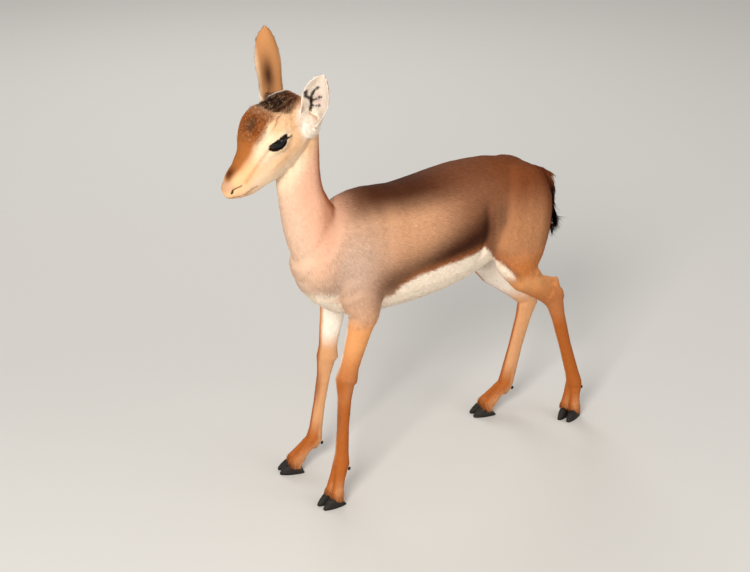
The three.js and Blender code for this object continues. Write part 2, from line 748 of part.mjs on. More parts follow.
// Tail
[piece, rest] = part(makeTail(), TAIL_CUT.point, TAIL_CUT.normal);
body = body.add(rest);
add("tail", piece, COLOURS.dark);

// Legs, feet and hooves
for (const [name, leg] of Object.entries(LEGS)) {
  const { side, hind } = leg;
  const slant = hind
    ? { point: [0, side * 34, 420], normal: [0, side * 165, -30] }
    : { point: [0, side * 20, 262], normal: [0, side * 30, -45] };
  const near = hind
    ? { point: [228, 0, 300], normal: [1, 0, -0.12] }
    : { point: [leg.elbow[0] + 31, 0, 260], normal: [-1, 0, 0] };
  const span = [side * 220, side * 0.5].sort((a, b) => a - b);
  let limb;
  [limb, body] = carve(body, {
    low: [-200, span[0], -20], high: [460, span[1], 425], planes: [slant, near],
  });
  const joint = hind ? leg.hock : leg.knee;
  const down = v3(...leg.fetlock).sub(v3(...joint)).normalize().toArray();
  let shank;
  let foot;
  [shank, limb] = part(limb, between(joint, leg.fetlock, 0.13), down);
  add(name + "_upper", limb, COLOURS.leg);
  [foot, shank] = part(shank, between(leg.fetlock, joint, 0.13), down);
  add(name + "_cannon", shank, COLOURS.leg);
  const { point, normal } = coronet(leg);
  foot = foot.trimByPlane(normal, v3(...normal).dot(v3(...point)) + GAP / 2);
  for (const [where, inner] of [["outer", side], ["inner", -side]]) {
    foot = foot.subtract(dewclaw(leg, inner, GAP));
    add(name + "_dewclaw_" + where, dewclaw(leg, inner), COLOURS.horn, 0.5);
    add(name + "_hoof_" + where, makeHoof(leg, inner), COLOURS.horn, 0.5);
  }
  add(name + "_foot", largest(foot), COLOURS.leg);
}
add("torso", body, COLOURS.back);
for (const [name, side] of [["left", LEFT], ["right", RIGHT]]) {
  add("eye_" + name, eyeball(side, EYE_RADIUS).transform(headPose.elements), COLOURS.eye, 0.1);
}

animal.position.set(...FRAME_SHIFT);

export default animal;
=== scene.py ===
# %% [markdown]
# # A young gazelle, dressed as a museum model
#
# The imported solids give the animal's true form: trunk, neck, head, ears, legs, hooves and tail. This lesson
# wraps them in one seamless skin, paints the coat's markings on it, and grows short fur as thin solid tufts
# that follow the lie of a real coat. The eyes, the lashes along the lids and the hooves are pieces of their
# own.

# %% Load the imported solids as the fixed frame
import math

import bmesh
import bpy
import numpy as np
from mathutils import Matrix, Vector
from mathutils.bvhtree import BVHTree


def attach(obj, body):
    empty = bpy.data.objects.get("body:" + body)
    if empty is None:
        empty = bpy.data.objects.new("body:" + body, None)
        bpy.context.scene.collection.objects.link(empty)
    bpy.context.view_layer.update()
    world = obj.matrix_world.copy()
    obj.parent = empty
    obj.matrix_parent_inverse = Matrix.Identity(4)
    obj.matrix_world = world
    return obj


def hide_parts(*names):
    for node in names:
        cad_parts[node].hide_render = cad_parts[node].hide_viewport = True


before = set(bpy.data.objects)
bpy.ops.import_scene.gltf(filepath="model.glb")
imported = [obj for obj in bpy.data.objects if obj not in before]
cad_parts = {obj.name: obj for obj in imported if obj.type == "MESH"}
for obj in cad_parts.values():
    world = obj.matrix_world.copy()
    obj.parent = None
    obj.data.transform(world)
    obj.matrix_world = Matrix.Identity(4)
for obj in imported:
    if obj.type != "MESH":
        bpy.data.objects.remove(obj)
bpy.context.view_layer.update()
print("packed nodes:", len(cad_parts))

# %% [markdown]
# ## Units and frames
#
# Blender works in metres. The sizes below are in millimetres, in two frames that make the anatomy easy to
# speak of. The body's frame has x = 0 under the withers and grows towards the tail, y is negative on the left
# side, and z is the height above the ground. The head's frame starts at the poll, where the skull meets the
# neck: s runs from there to the nose, and h is the height above the skull's axis.

# %% Body and head frames
MM = 0.001
FRAME_SHIFT = np.array([-110.7, 5.5, 0.0])
HEAD_POLL = (-66.0, 0.0, 572.0)
HEAD_DROP = 36.3
HEAD_TURN = 6.6
head_pose = (
    Matrix.Translation(HEAD_POLL)
    @ Matrix.Rotation(math.radians(HEAD_TURN), 4, "Z")
    @ Matrix.Rotation(math.radians(-HEAD_DROP), 4, "Y")
)
HEAD_AXES = np.array(head_pose.to_3x3())


def in_body(places):
    """Places of the model in metres, as millimetres in the body's frame."""
    return np.asarray(places, float) / MM - FRAME_SHIFT


def in_head(body_places):
    """Places in the body's frame as (s, y, h) in the head's frame."""
    local = (body_places - np.array(HEAD_POLL)) @ HEAD_AXES
    return np.column_stack([-local[:, 0], local[:, 1], local[:, 2]])


def add_object(name, data):
    """An object with this data, in the scene."""
    piece = bpy.data.objects.new(name, data)
    bpy.context.scene.collection.objects.link(piece)
    return piece


def to_model(body_place):
    """A place in the body's frame, back in the model's metres."""
    return Vector((np.array(body_place, float) + FRAME_SHIFT) * MM)


print("poll of the head at", tuple(round(value, 3) for value in to_model(HEAD_POLL)))

# %% [markdown]
# ## Camera
#
# The photograph was taken from the animal's front left, at about a person's chest height, with a long lens. A
# camera with the same place, direction and focal length gives the same foreshortening, so the render can be
# laid beside the photograph.

# %% Camera at the photograph's view
CAMERA_AT = (-1271.6, -1916.0, 1274.4)
CAMERA_AHEAD = Vector((0.5239, 0.7569, -0.3907))
LENS = 86.4
SENSOR = 36.0

camera_data = bpy.data.cameras.new("camera")
camera_data.lens = LENS
camera_data.sensor_width = SENSOR
camera_data.sensor_fit = "HORIZONTAL"
camera_data.clip_start = 0.05
camera = add_object("camera", camera_data)
camera.location = to_model(CAMERA_AT)
camera.rotation_euler = CAMERA_AHEAD.to_track_quat("-Z", "Y").to_euler()
bpy.context.scene.camera = camera
bpy.context.scene.view_settings.view_transform = "Standard"
print("camera", [round(value, 2) for value in camera.location])

# %% [markdown]
# ## Colours
#
# A colour given below is a screen colour. A shader wants linear light, so each named colour is turned once,
# here. The names are the places on the animal where the colour is seen best.

# %% Named colours of the coat


def linear(red, green, blue):
    """A screen colour, 0 to 255, as linear light."""
    share = np.array([red, green, blue], float) / 255
    return np.where(share <= 0.04045, share / 12.92, ((share + 0.055) / 1.055) ** 2.4)


BACK = linear(66, 29, 11)
SAND = linear(200, 149, 112)
BAND = linear(57, 25, 10)
FLANK_REAR = linear(124, 75, 49)
RUFOUS_EDGE = linear(158, 92, 50)
BELLY = linear(250, 230, 208)
SHOULDER = linear(196, 165, 145)
WITHERS = linear(79, 37, 15)
NECK_SIDE = linear(233, 178, 148)
NECK_FRONT = linear(227, 189, 162)
NAPE = linear(161, 83, 30)
RUMP = linear(122, 66, 34)
THIGH = linear(182, 126, 86)
THIGH_REAR = linear(101, 43, 14)
THIGH_LOW = linear(193, 118, 63)
FLANK_GREY = linear(104, 70, 52)
LEG = linear(172, 94, 39)
FOREARM = linear(222, 154, 98)
LEG_FRONT = linear(150, 90, 52)
INNER_LEG = linear(251, 237, 222)
PALE_TAN = linear(224, 169, 122)
BLAZE = linear(165, 98, 47)
CREAM = linear(241, 214, 180)
CHEEK = linear(236, 190, 146)
JAW = linear(243, 214, 182)
# Painted shade: the chin's underside, as dark as it looks in shade.
SHADED_CHIN = linear(155, 98, 61)
TEAR_LINE = linear(172, 108, 62)
STRIPE_LOW = linear(240, 190, 138)
FROSTED_TIP = linear(222, 172, 126)
NOSE_TIP = linear(208, 162, 126)
NOSE_SMUDGE = linear(74, 33, 10)
FORELOCK = linear(130, 66, 26)
WHORL = linear(88, 62, 44)
CROWN = linear(56, 22, 8)
CROWN_DARK = linear(22, 14, 10)
EAR_BACK = linear(191, 133, 84)
EAR_CENTRE = linear(56, 26, 13)
EAR_LINING = linear(246, 232, 216)
EAR_PINK = linear(196, 160, 158)
BARE_DARK = linear(26, 18, 15)
WHITE = linear(248, 238, 224)
print("colours ready")

# %% [markdown]
# ## Where each marking lies
#
# A fawn's markings follow its form: dark along the back, a dark band above a sharp white belly line, pale
# throat and inner legs, and a rufous blaze between cream stripes on the face. They are worked out from the
# place of a point and the way the surface faces there. The same rule colours the skin and every tuft, so that
# nothing shows through in the wrong colour.
# Some darker places are painted shade: the lower chest, the flank fold, the chin's underside, the mouth's
# crease and the nostrils' slits.

# %% Soft steps and mixes


def rise(values, low, high):
    """0 up to `low`, 1 from `high` on, and smooth between. Given high < low it falls instead."""
    share = np.clip((values - low) / (high - low), 0, 1)
    return share * share * (3 - 2 * share)


def spot(*offsets_and_reaches):
    """A round soft spot, from pairs of (distance along one direction, reach along it)."""
    return np.exp(-sum((offset / reach) ** 2 for offset, reach in offsets_and_reaches))


def mix(under, over, share):
    """Lays one colour over another."""
    return under + (over - under) * share[:, None]


def unit(vectors, tiny=0.0):
    """Rows scaled to length one."""
    return vectors / (np.linalg.norm(vectors, axis=1, keepdims=True) + tiny)


def named(nodes, *starts):
    """1 where the name of the solid begins with one of the words, and 0 elsewhere."""
    return np.array([name.startswith(starts) for name in nodes], float)


def layered(base, *layers):
    """Lays colours over a base, one after another. Each layer is (colour, share)."""
    for over, share in layers:
        base = mix(base, over, share)
    return base


def line_distance(across, up, path):
    """How far points are from a broken line, in a plane."""
    nearest = np.full(len(across), 1e9)
    for (x0, y0), (x1, y1) in zip(path[:-1], path[1:]):
        dx, dy = x1 - x0, y1 - y0
        along = np.clip(((across - x0) * dx + (up - y0) * dy) / (dx * dx + dy * dy), 0, 1)
        nearest = np.minimum(nearest, np.hypot(across - x0 - along * dx, up - y0 - along * dy))
    return nearest


print("helpers ready")

# %% The trunk's outline, from the same stations as the solids
TRUNK_X = [-66, -42, -12, 25, 80, 145, 205, 260, 308, 340]
TRUNK_BACK = [384, 414, 434, 440, 435, 438, 445, 443, 428, 408]
TRUNK_BELLY = [322, 286, 263, 254, 253, 258, 271, 293, 316, 334]


def white_edge(x):
    """Height of the line where the white belly begins."""
    return np.interp(x, [30, 46, 57, 88, 138, 209, 240], [268, 281, 303, 313.5, 319.5, 324, 327])


def thigh_front(z):
    """How far back the thigh's front edge lies at each height."""
    return np.interp(z, [262, 275, 290, 308, 320, 340], [262, 256, 243, 224, 212, 208])


def trunk_level(p):
    """0 at the belly and 1 at the back."""
    low = np.interp(p[:, 0], TRUNK_X, TRUNK_BELLY)
    high = np.interp(p[:, 0], TRUNK_X, TRUNK_BACK)
    return (p[:, 2] - low) / (high - low)


print("trunk outline has", len(TRUNK_X), "stations")

# %% Markings of the trunk and neck


def trunk_colour(p, n):
    """Colour of the trunk and neck at places p with normals n, in the body's frame."""
    x, z = p[:, 0], p[:, 2]
    out = np.abs(p[:, 1])
    level = trunk_level(p)
    behind_front = x - thigh_front(z)
    band_middle = 313 + 0.25 * (x - 48)
    band_fade = np.where(z > band_middle, 27, 30)
    band = np.exp(-(((z - band_middle) / band_fade) ** 2)) * rise(x, -8, 44) * rise(x, 228, 208)
    edge = white_edge(x)
    ragged = 0.8 * np.sin(x * 0.55) + 0.6 * np.sin(x * 1.31 + 2)
    behind_elbow = rise(x, 22, 44) * rise(behind_front, 5, 0)
    facing_down = np.where(x > 222, rise(-n[:, 2], 0.5, 0.8), rise(-n[:, 2], 0.25, 0.6))
    inner_thigh = rise(-np.sign(p[:, 1]) * n[:, 1], 0.1, 0.5) * rise(x, 200, 230) * rise(z, 345, 320)
    front_edge = spot((behind_front, 2.2)) * rise(z, 262, 272) * rise(z, 326, 314)
    facing_back = n[:, 0] * 0.9 + n[:, 2] * 0.3
    throat = layered(
        NECK_SIDE,
        (NECK_FRONT, rise(-facing_back, 0.1, 0.75)),
        (NAPE, rise(facing_back, 0.2, 0.85)),
        (NAPE, spot((x + 44, 11), (z - 418, 26)) * 0.45),
    )
    return layered(
        SAND,
        (SHOULDER, spot((x + 14, 48), (z - 346, 66)) * 0.95),
        # Painted shade: the lower chest under the neck, in the shoulder's colour darkened, as it lies in
        # shade.
        (SHOULDER * 0.72, spot((x + 50, 20), (z - 312, 26)) * 0.8),
        (BACK, rise(level, 0.75, 0.95) * rise(x, -30, 40) * 0.97),
        (FLANK_REAR, rise(x, 96, 196) * 0.85),
        (WITHERS, rise(level, 0.78, 1.0) * rise(x, -70, -20) * rise(x, 60, 0) * 0.8),
        (RUMP, rise(x, 185, 285) * rise(z, 330, 420)),
        (THIGH, rise(behind_front, 4, 34) * rise(z, 410, 340)),
        (THIGH_LOW, rise(behind_front, 0, 16) * rise(z, 318, 280)),
        (THIGH_REAR, rise(x, 300, 345) * rise(z, 250, 290) * 0.9),
        (FLANK_GREY, spot((x - 238, 13), (z - 366, 24)) * rise(out, 30, 42) * 0.65),
        (BAND, band * (0.78 + 0.2 * rise(x, 70, 150))),
        # Painted shade in the flank fold: a darker spot laid over the end of the dark band.
        (BAND, spot((x - 206, 12), (z - 354, 27)) * rise(out, 22, 38) * 0.7),
        (RUFOUS_EDGE, spot((z - edge - 3, 4.5)) * behind_elbow * 0.8),
        (BELLY, rise(z - ragged, edge + 2.2, edge - 2.2) * behind_elbow),
        (BELLY, facing_down * rise(z, 352, 318) * rise(x, 330, 280)),
        (INNER_LEG, inner_thigh),
        (BELLY, front_edge * 0.6),
        (throat, neck_share(p)),
        (WHITE, rise(n[:, 0], 0.45, 0.85) * rise(out, 25, 14) * rise(x, 325, 340) * rise(z, 398, 386)),
    )


def neck_share(p):
    """1 on the neck, fading to 0 on the shoulders and chest."""
    ahead = -(p[:, 0] + 26) * 0.885 + (p[:, 2] - 440) * 0.466
    return rise(ahead, -42, 6)


print("trunk markings ready")

# %% Markings of the legs and tail


def leg_colour(p, n):
    """Colour of the legs: tan outside, white inside to the carpus and hock, darker above the hooves."""
    x, z = p[:, 0], p[:, 2]
    inward = -np.sign(p[:, 1]) * n[:, 1]
    fore = rise(x, 160, 140)
    knee = 178 * fore + 200 * (1 - fore)
    white_from = knee - 22 + 26 * fore
    return layered(
        LEG,
        (FOREARM, rise(z, knee, knee + 60)),
        (PALE_TAN, rise(z, knee + 34, knee + 6) * rise(z, knee - 40, knee - 10) * 0.2),
        (LEG, spot((z - knee + 2, 13)) * rise(-n[:, 0], 0.2, 0.8) * fore),
        (PALE_TAN, rise(n[:, 0] + 0.6 * inward, 0.35, 0.9) * 0.75),
        (PALE_TAN, rise(inward, -0.2, 0.45) * rise(z, 44, 84) * 0.8),
        (INNER_LEG, rise(inward, 0.0, 0.45) * rise(z, white_from, white_from + 38)),
        (LEG_FRONT, spot((z - 126, 26)) * rise(-n[:, 0], 0.35, 0.9) * fore * 0.7),
        (PALE_TAN, spot((z - 26, 12)) * rise(np.abs(n[:, 1]), 0.3, 0.8) * 0.35),
        (EAR_CENTRE, rise(z, 26, 14) * rise(-n[:, 0], 0.1, 0.8) * 0.6),
    )


def tail_colour(p):
    """The tail is rufous at its root, and black-brown from there to its tip."""
    return layered(BAND * 0.4, (RUMP, rise(p[:, 2], 376, 394)))


print("leg markings ready")

# %% [markdown]
# ## The face
#
# The face is where a viewer looks first. Its markings are set in the head's frame, so that they stay on the
# bridge, cheeks and lids whatever way the head turns. The eye has a frame of its own, whose x runs back along
# the lids, because the dark rim and the pale ring follow the lids and not the skull.

# %% Frames of the two eyes
LEFT, RIGHT = -1, 1
EYE_RADIUS = 14.3
EYE_AT = {"s": 65.2, "y": 23.5, "h": 10.0}
EYE_FORWARD = 20.0
EYE_LEVEL = 9.0
EYE_UPWARD = 0.08


def eye_pose(side):
    """Matrix from one eye's frame to the body's: x back along the lids, y up, z out of the socket."""
    ahead = math.radians(EYE_FORWARD)
    out = Vector((-math.sin(ahead), side * math.cos(ahead), EYE_UPWARD)).normalized()
    up = (Vector((0, 0, 1)) - out * out.z).normalized()
    up = Matrix.Rotation(side * math.radians(EYE_LEVEL), 3, out) @ up
    back = up.cross(out) * side
    axes = Matrix((back, up, out)).transposed().to_4x4()
    return head_pose @ Matrix.Translation((-EYE_AT["s"], side * EYE_AT["y"], EYE_AT["h"])) @ axes


def in_eye(body_places, side):
    """Places in the body's frame, in one eye's frame."""
    pose = np.array(eye_pose(side))
    return (body_places - pose[:3, 3]) @ pose[:3, :3]


print("eyes at", [tuple(round(v, 1) for v in eye_pose(side).translation) for side in (LEFT, RIGHT)])

# %% Markings of the head
BLAZE_S = [55, 70, 84, 98, 112, 125, 136, 152]
BLAZE_HALF = [23, 24.5, 21.5, 17.0, 13.5, 11, 8, 4]
WHORL_AT = (71, -3)
TEAR_PATH = [(84, 13), (104, 4), (117, 0.5), (129, -2)]
NOSTRIL_PATH = [(152, -1.5), (148, 1), (143, 0.5), (136.5, -1.5)]
MOUTH_PATH = [(120, -21.5), (129, -17.5), (138, -15.5), (146, -13.2), (151, -10), (156.8, -7.5)]


def head_colour(p, n):
    """Colour of the head at places p, in the body's frame."""
    s, y, h = in_head(p).T
    out = np.abs(y)
    half = np.interp(s, BLAZE_S, BLAZE_HALF)
    beside_blaze = rise(out, half + 15, half + 6) * rise(s, 58, 74) * rise(h, -12, 2)
    pad_half = np.interp(s, [46, 62], [32, 27])
    pad = rise(s, 42, 54) * rise(s, 90, 76) * rise(out, pad_half, pad_half - 8) * rise(h, 26, 33)
    curls = 0.75 + 0.25 * np.sin(s * 0.8 + 2 * np.sin(y * 0.35)) * np.sin(y * 0.7 + s * 0.2)
    from_whorl = np.hypot(s - WHORL_AT[0], y - WHORL_AT[1])
    crown_half = np.interp(s, [28, 46], [32, 24])
    crown = rise(s, 52, 44) * rise(s, -4, 8) * rise(h, 19, 27) * rise(out, crown_half, crown_half - 7)
    streaks = 0.92 + 0.08 * np.sin(y * 0.9 + 0.6 * np.sin(s * 0.3))
    dark = spot((s - 27, 17), (y - 6, 17)) + spot((y + 12, 4), (s - 34, 14))
    lips = line_distance(s, h, MOUTH_PATH)
    slit = line_distance(s, h, NOSTRIL_PATH)
    colour = layered(
        CHEEK,
        (JAW, rise(h, -16, -34) * rise(s, 30, 60)),
        (JAW, spot((s - 112, 20), (h + 16, 10)) * 0.8),
        # Painted shade under the chin.
        (SHADED_CHIN, rise(s, 128, 150) * rise(h, -16, -22)),
        (NAPE, rise(s, 26, 2) * rise(h, -12, 12) * 0.8),
        (CREAM, beside_blaze * rise(s, 118, 92)),
        (STRIPE_LOW, beside_blaze * rise(s, 92, 118) * 0.8),
        (CREAM, spot((s - 85, 10), (h - 18, 9)) * rise(out, 16, 21)),
        (TEAR_LINE, rise(line_distance(s, h, TEAR_PATH), 4.2, 0.8) * 0.38),
        (BLAZE, rise(out, half + 4, half - 5) * rise(s, 48, 66) * rise(h, 1, 8)),
        (NOSE_TIP, rise(s, 138, 148) * rise(h, -2, 5)),
        (NOSE_SMUDGE, spot((s - 134, 9), (out, 7.5), (h - 13.5, 7)) * 0.95),
        (FORELOCK, pad * curls),
        (WHORL, rise(from_whorl, 11, 4) * rise(h, 26, 33) * 0.7),
        (CROWN, crown * streaks),
        (CROWN_DARK, np.clip(dark, 0, 1) * crown * 0.95),
        # Painted shade in the crease between the lips, in the nose smudge's colour.
        (NOSE_SMUDGE, rise(lips, 1.5, 0.5) * rise(s, 112, 122) * 0.55),
        # The nostrils: dark bare skin at their edges, with painted shade inside the slits and along the
        # crease behind them.
        (BARE_DARK, rise(slit, 2.1, 1.0) * rise(out, 2.5, 4.5) * rise(s, 146, 150)),
        (BARE_DARK, rise(slit, 1.3, 0.4) * rise(out, 2.5, 4.5) * 0.8),
    )
    for side in (LEFT, RIGHT):
        colour = eye_surround(colour, in_eye(p, side))
    for ear in EARS.values():
        colour = mix(colour, EAR_LINING, ear_foot(p, n, ear) * 0.92)
    return colour


LID_MIDDLE = (-0.6, 1.2)
LID_HALF_SIZE = (14.6, 6.8)
LID_SLANT = 0.1


def lid_reach(e):
    """How far out from the middle of the lids' opening a place is: 1 on the edge of the opening."""
    along = e[:, 0] - LID_MIDDLE[0]
    across = e[:, 1] + LID_SLANT * e[:, 0] - LID_MIDDLE[1]
    return np.hypot(along / LID_HALF_SIZE[0], across / LID_HALF_SIZE[1])


def eye_surround(colour, e):
    """Lays the pale ring, the dark lids and the dark front corner round one eye."""
    near = rise(e[:, 2], 0, 4)
    reach = lid_reach(e)
    ahead = rise(e[:, 0], 10, -8)
    corner = line_distance(e[:, 0], e[:, 1], [(-14, -1), (-20, -4.5)])
    return layered(
        colour,
        (CREAM, rise(reach, 2.0, 1.35) * near * (0.25 + 0.55 * ahead)),
        (BARE_DARK, rise(reach, 1.1, 1.02) * near),
        (BARE_DARK, rise(corner, 1.7, 0.7) * near),
    )


print("face markings ready")

# %% [markdown]
# ## The ears
#
# Each ear is a leaf rolled about its length. Its frame runs in millimetres from the buried root towards the
# tip, across the ear, and out through its opening. Inside, bare dark skin shows as branching lines between
# rows of white hair; outside, the fur is tan with a darker middle.

# %% Frames and markings of the ears
EARS = {
    "ear_left": {
        "root": (-69, -25, 547.5), "tip": (-84, -81.5, 632), "opening": (-0.8, -0.62, 0.1), "front": -1,
    },
    "ear_right": {
        "root": (-91, 24, 566), "tip": (-90.5, 48, 675), "opening": (0.25, 0.95, 0), "front": 1,
    },
}
for ear in EARS.values():
    root = Vector(ear["root"])
    axis = (Vector(ear["tip"]) - root).normalized()
    opening = Vector(ear["opening"])
    opening = (opening - axis * opening.dot(axis)).normalized()
    ear["axes"] = np.array([axis, axis.cross(opening), opening])
EAR_LINES = [
    [(12, -6), (24, -6.9), (33, -7.4), (44, -9.4), (52, -9.8), (62, -7.6), (70, -3.6)],
    [(41, -9.4), (50, -15), (61, -16.3)],
    [(38, -8.4), (44, -3.9), (54, 2.4)],
    [(30, -6.4), (32, -0.2), (37, 3.5)],
]


def in_ear(body_places, ear):
    """Places in the body's frame as (along, across, out of the opening) in an ear's frame."""
    return (body_places - np.array(ear["root"], float)) @ ear["axes"].T


def ear_foot(p, n, ear):
    """1 where white hair covers the foot of the ear, on the side of its opening."""
    along, across, out = in_ear(p, ear).T
    facing = rise(n @ ear["axes"][2], -0.35, 0.1)
    return rise(along, -14, 0) * rise(along, 36, 24) * rise(np.hypot(across, out + 3), 27, 17) * facing


def ear_colour(p, n, ear, under):
    """Colour of an ear. `under` is the head's colour, which the ear's fades into at its root."""
    along, across, _ = in_ear(p, ear).T
    across = across * -ear["front"]
    inside = rise(n @ ear["axes"][2], -0.05, 0.3)
    outer = layered(
        EAR_BACK,
        (EAR_CENTRE, spot((across + 5.5, 8.5), (along - 45, 27)) * 0.97),
        (CREAM, rise(np.abs(across), 12, 18) * 0.6),
    )
    lining = mix(EAR_LINING, EAR_PINK, spot((across + 1, 7), (along - 46, 12)) * 0.6)
    for path in EAR_LINES:
        lining = mix(lining, BARE_DARK, rise(line_distance(along, across, path), 2.4, 1.1) * 0.95)
    at_root = np.maximum(rise(along, 12, 26), rise(along, 2, 12) * inside)
    return mix(under, mix(outer, lining, inside), at_root)


print("ear frames ready for", sorted(EARS))

# %% One rule for the whole coat


def head_share(p):
    """1 on the head and 0 on the neck."""
    ahead = -(p[:, 0] + 62) * 0.805 + (p[:, 2] - 512) * 0.594
    return rise(ahead, -12, 10)


def coat_colour(p, n, nodes):
    """Colour of the coat at places p with normals n, in the body's frame; `nodes` names the nearest solid."""
    colour = trunk_colour(p, n)
    fore_top = 262 + 0.2 * np.abs(p[:, 0])
    leg_top = np.where(p[:, 0] < 150, np.minimum(fore_top, 275), 268)
    face = head_colour(p, n)
    colour = layered(
        colour,
        (leg_colour(p, n), rise(p[:, 2], leg_top + 10, leg_top - 14) * named(nodes, "fore", "hind")),
        (tail_colour(p), named(nodes, "tail")),
        (face, head_share(p)),
    )
    for name, ear in EARS.items():
        on_ear = named(nodes, name) > 0
        colour[on_ear] = ear_colour(p[on_ear], n[on_ear], ear, face[on_ear])
    return np.clip(colour, 0, 1)


print("coat rule ready")

# %% [markdown]
# ## One skin
#
# The solids are parted where a person would name a new part, so they show hairline gaps and flat facets. A
# voxel remesh fuses them: each copy is first grown by less than half a millimetre, so that the gaps close,
# and the remesh then wraps all of them in one even net. Smoothing melts the facets. It is strong on the
# trunk, where the facets are large, and weak on the legs and face, where it would eat the form. Last, the
# skin is let in by the depth of the coat, so that the fur's tips come back to the true outline.

# %% Join copies of the flesh
GROW = 0.4 * MM
PAD_GROW = 2.3 * MM
SAME_PLACE = 1e-6


def pad_share(p):
    """1 on the forelock, whose solid locks are fused to one pad, on which the curls then grow."""
    s, y, h = in_head(p).T
    return rise(s, 34, 42) * rise(s, 98, 90) * rise(h, 22, 29) * rise(np.abs(y), 42, 37) * head_share(p)


flesh_names = sorted(
    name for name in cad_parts
    if not name.startswith("eye") and "hoof" not in name and "dewclaw" not in name
)
flesh = bmesh.new()
node_of_face = []
for index, name in enumerate(flesh_names):
    flesh.from_mesh(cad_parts[name].data)
    node_of_face += [index] * (len(flesh.faces) - len(node_of_face))
bmesh.ops.remove_doubles(flesh, verts=flesh.verts, dist=SAME_PLACE)
flesh.normal_update()
print("flesh:", len(flesh_names), "solids,", len(flesh.faces), "faces")

# %% A finder that tells which solid is nearest
finder = BVHTree.FromBMesh(flesh)
node_index = [node_of_face[i] for i in range(len(flesh.faces))]


def nearest_nodes(places):
    """Name of the nearest solid for each place, in the model's metres."""
    found = []
    for place in places:
        face = finder.find_nearest(Vector(place))[2]
        found.append(flesh_names[node_index[face]])
    return np.array(found)


outward = GROW + PAD_GROW * pad_share(in_body([vert.co for vert in flesh.verts]))
for vert, step in zip(flesh.verts, outward):
    vert.co += vert.normal * step
skin_mesh = bpy.data.meshes.new("skin")
flesh.to_mesh(skin_mesh)
flesh.free()
skin = add_object("skin", skin_mesh)
print("skin starts with", len(skin_mesh.polygons), "faces")

# %% Arrays out of a mesh, and back into it


def reshape(piece, kind, **settings):
    """Gives a piece one modifier with its settings, and applies it."""
    modifier = piece.modifiers.new(kind.lower(), kind)
    for key, value in settings.items():
        setattr(modifier, key, value)
    bpy.context.view_layer.update()
    graph = bpy.context.evaluated_depsgraph_get()
    made = bpy.data.meshes.new_from_object(piece.evaluated_get(graph))
    piece.modifiers.clear()
    piece.vertex_groups.clear()
    piece.data = made


def read_array(items, key, width, kind=np.float32):
    """One property of every item of a mesh, as rows of `width` numbers."""
    values = np.empty(len(items) * width, kind)
    items.foreach_get(key, values)
    return values.reshape(-1, width)


def vertex_places(mesh):
    return read_array(mesh.vertices, "co", 3, float)


def vertex_normals(mesh):
    return read_array(mesh.vertex_normals, "vector", 3).astype(float)


def move_vertices(piece, body_places):
    """Sets the places of a piece's vertices, given in the body's frame."""
    piece.data.vertices.foreach_set("co", ((body_places + FRAME_SHIFT) * MM).ravel())
    piece.data.update()


def weigh(piece, name, weights, levels=20):
    """A vertex group from an array of weights, in a few levels so that it is quick to fill."""
    group = piece.vertex_groups.new(name=name)
    steps = np.rint(weights * levels).astype(int)
    for step in range(1, levels + 1):
        members = np.flatnonzero(steps == step)
        if len(members):
            group.add(members.tolist(), step / levels, "REPLACE")
    return name


print("mesh helpers ready")

# %% Remesh the flesh as one surface
VOXEL = 0.95 * MM
reshape(skin, "REMESH", mode="VOXEL", voxel_size=VOXEL * 1)
print("one surface of", len(skin.data.polygons), "faces")

# %% [markdown]
# ## The forelock's pad
#
# In the photograph the forelock is one rounded pad with short curls on it. The solids' locks were grown
# before the remesh, so that they fused. Now their free ends are pressed down to the pad's round, measured
# about a line that runs along the inside of the head.

# %% Press the forelock down to one rounded pad
PAD_AXIS = 10.0
PAD_SINK = 0.8
UNDERSIDE_SINK = 2.0
PAD_S = [30, 34, 38, 42, 46, 50, 54, 58, 62, 66, 70, 74, 78, 84, 90]
PAD_RADIUS = [29.3, 31, 32.5, 34.5, 36.8, 38, 38.4, 38.3, 37.8, 36.8, 35.4, 33.5, 31.5, 28.5, 25]
skin_body = in_body(vertex_places(skin.data))
s, y, h = in_head(skin_body).T
radius = np.hypot(y, h - PAD_AXIS)
turn = np.degrees(np.abs(np.arctan2(y, h - PAD_AXIS)))
on_pad = pad_share(skin_body)
limit = np.interp(s, PAD_S, PAD_RADIUS) + 1.5 * rise(turn, 20, 40) + PAD_GROW / MM * on_pad
normals = vertex_normals(skin.data) @ HEAD_AXES
facing_in = -(normals[:, 1] * y + normals[:, 2] * (h - PAD_AXIS)) / np.maximum(radius, 1)
over = np.maximum(radius - limit, 0) * rise(turn, 76, 66) * rise(s, 28, 34) * rise(s, 92, 84)
over += on_pad * (PAD_GROW / MM + PAD_SINK + UNDERSIDE_SINK * rise(facing_in, 0, 0.5))
kept = 1 - over * head_share(skin_body) / np.maximum(radius, 1)
pressed = np.column_stack([-s, y * kept, PAD_AXIS + (h - PAD_AXIS) * kept])
moved = over > 0
skin_body[moved] = pressed[moved] @ HEAD_AXES.T + np.array(HEAD_POLL)
move_vertices(skin, skin_body)
print("pressed", moved.sum(), "places by up to", round(over.max(), 1), "mm")

# %% Smooth it, most on the trunk
SMOOTH_ROUNDS = 150


def softness(p):
    """How strongly the skin is smoothed, from 0 to 1."""
    soft = rise(p[:, 2], 215, 300) * 0.86 + 0.14
    head = head_share(p)
    face = 0.06 + 0.9 * pad_share(p)
    soft = soft * (1 - head) + face * head
    for ear in EARS.values():
        e = in_ear(p, ear)
        radius = np.hypot(e[:, 1], e[:, 2])
        soft = np.where((e[:, 0] > 14) & (radius < 34), 0.05, soft)
    tail = rise(p[:, 0], 352, 356) * rise(p[:, 2], 300, 306) * rise(np.abs(p[:, 1]), 22, 16)
    return np.where(tail > 0, 0.35, soft)


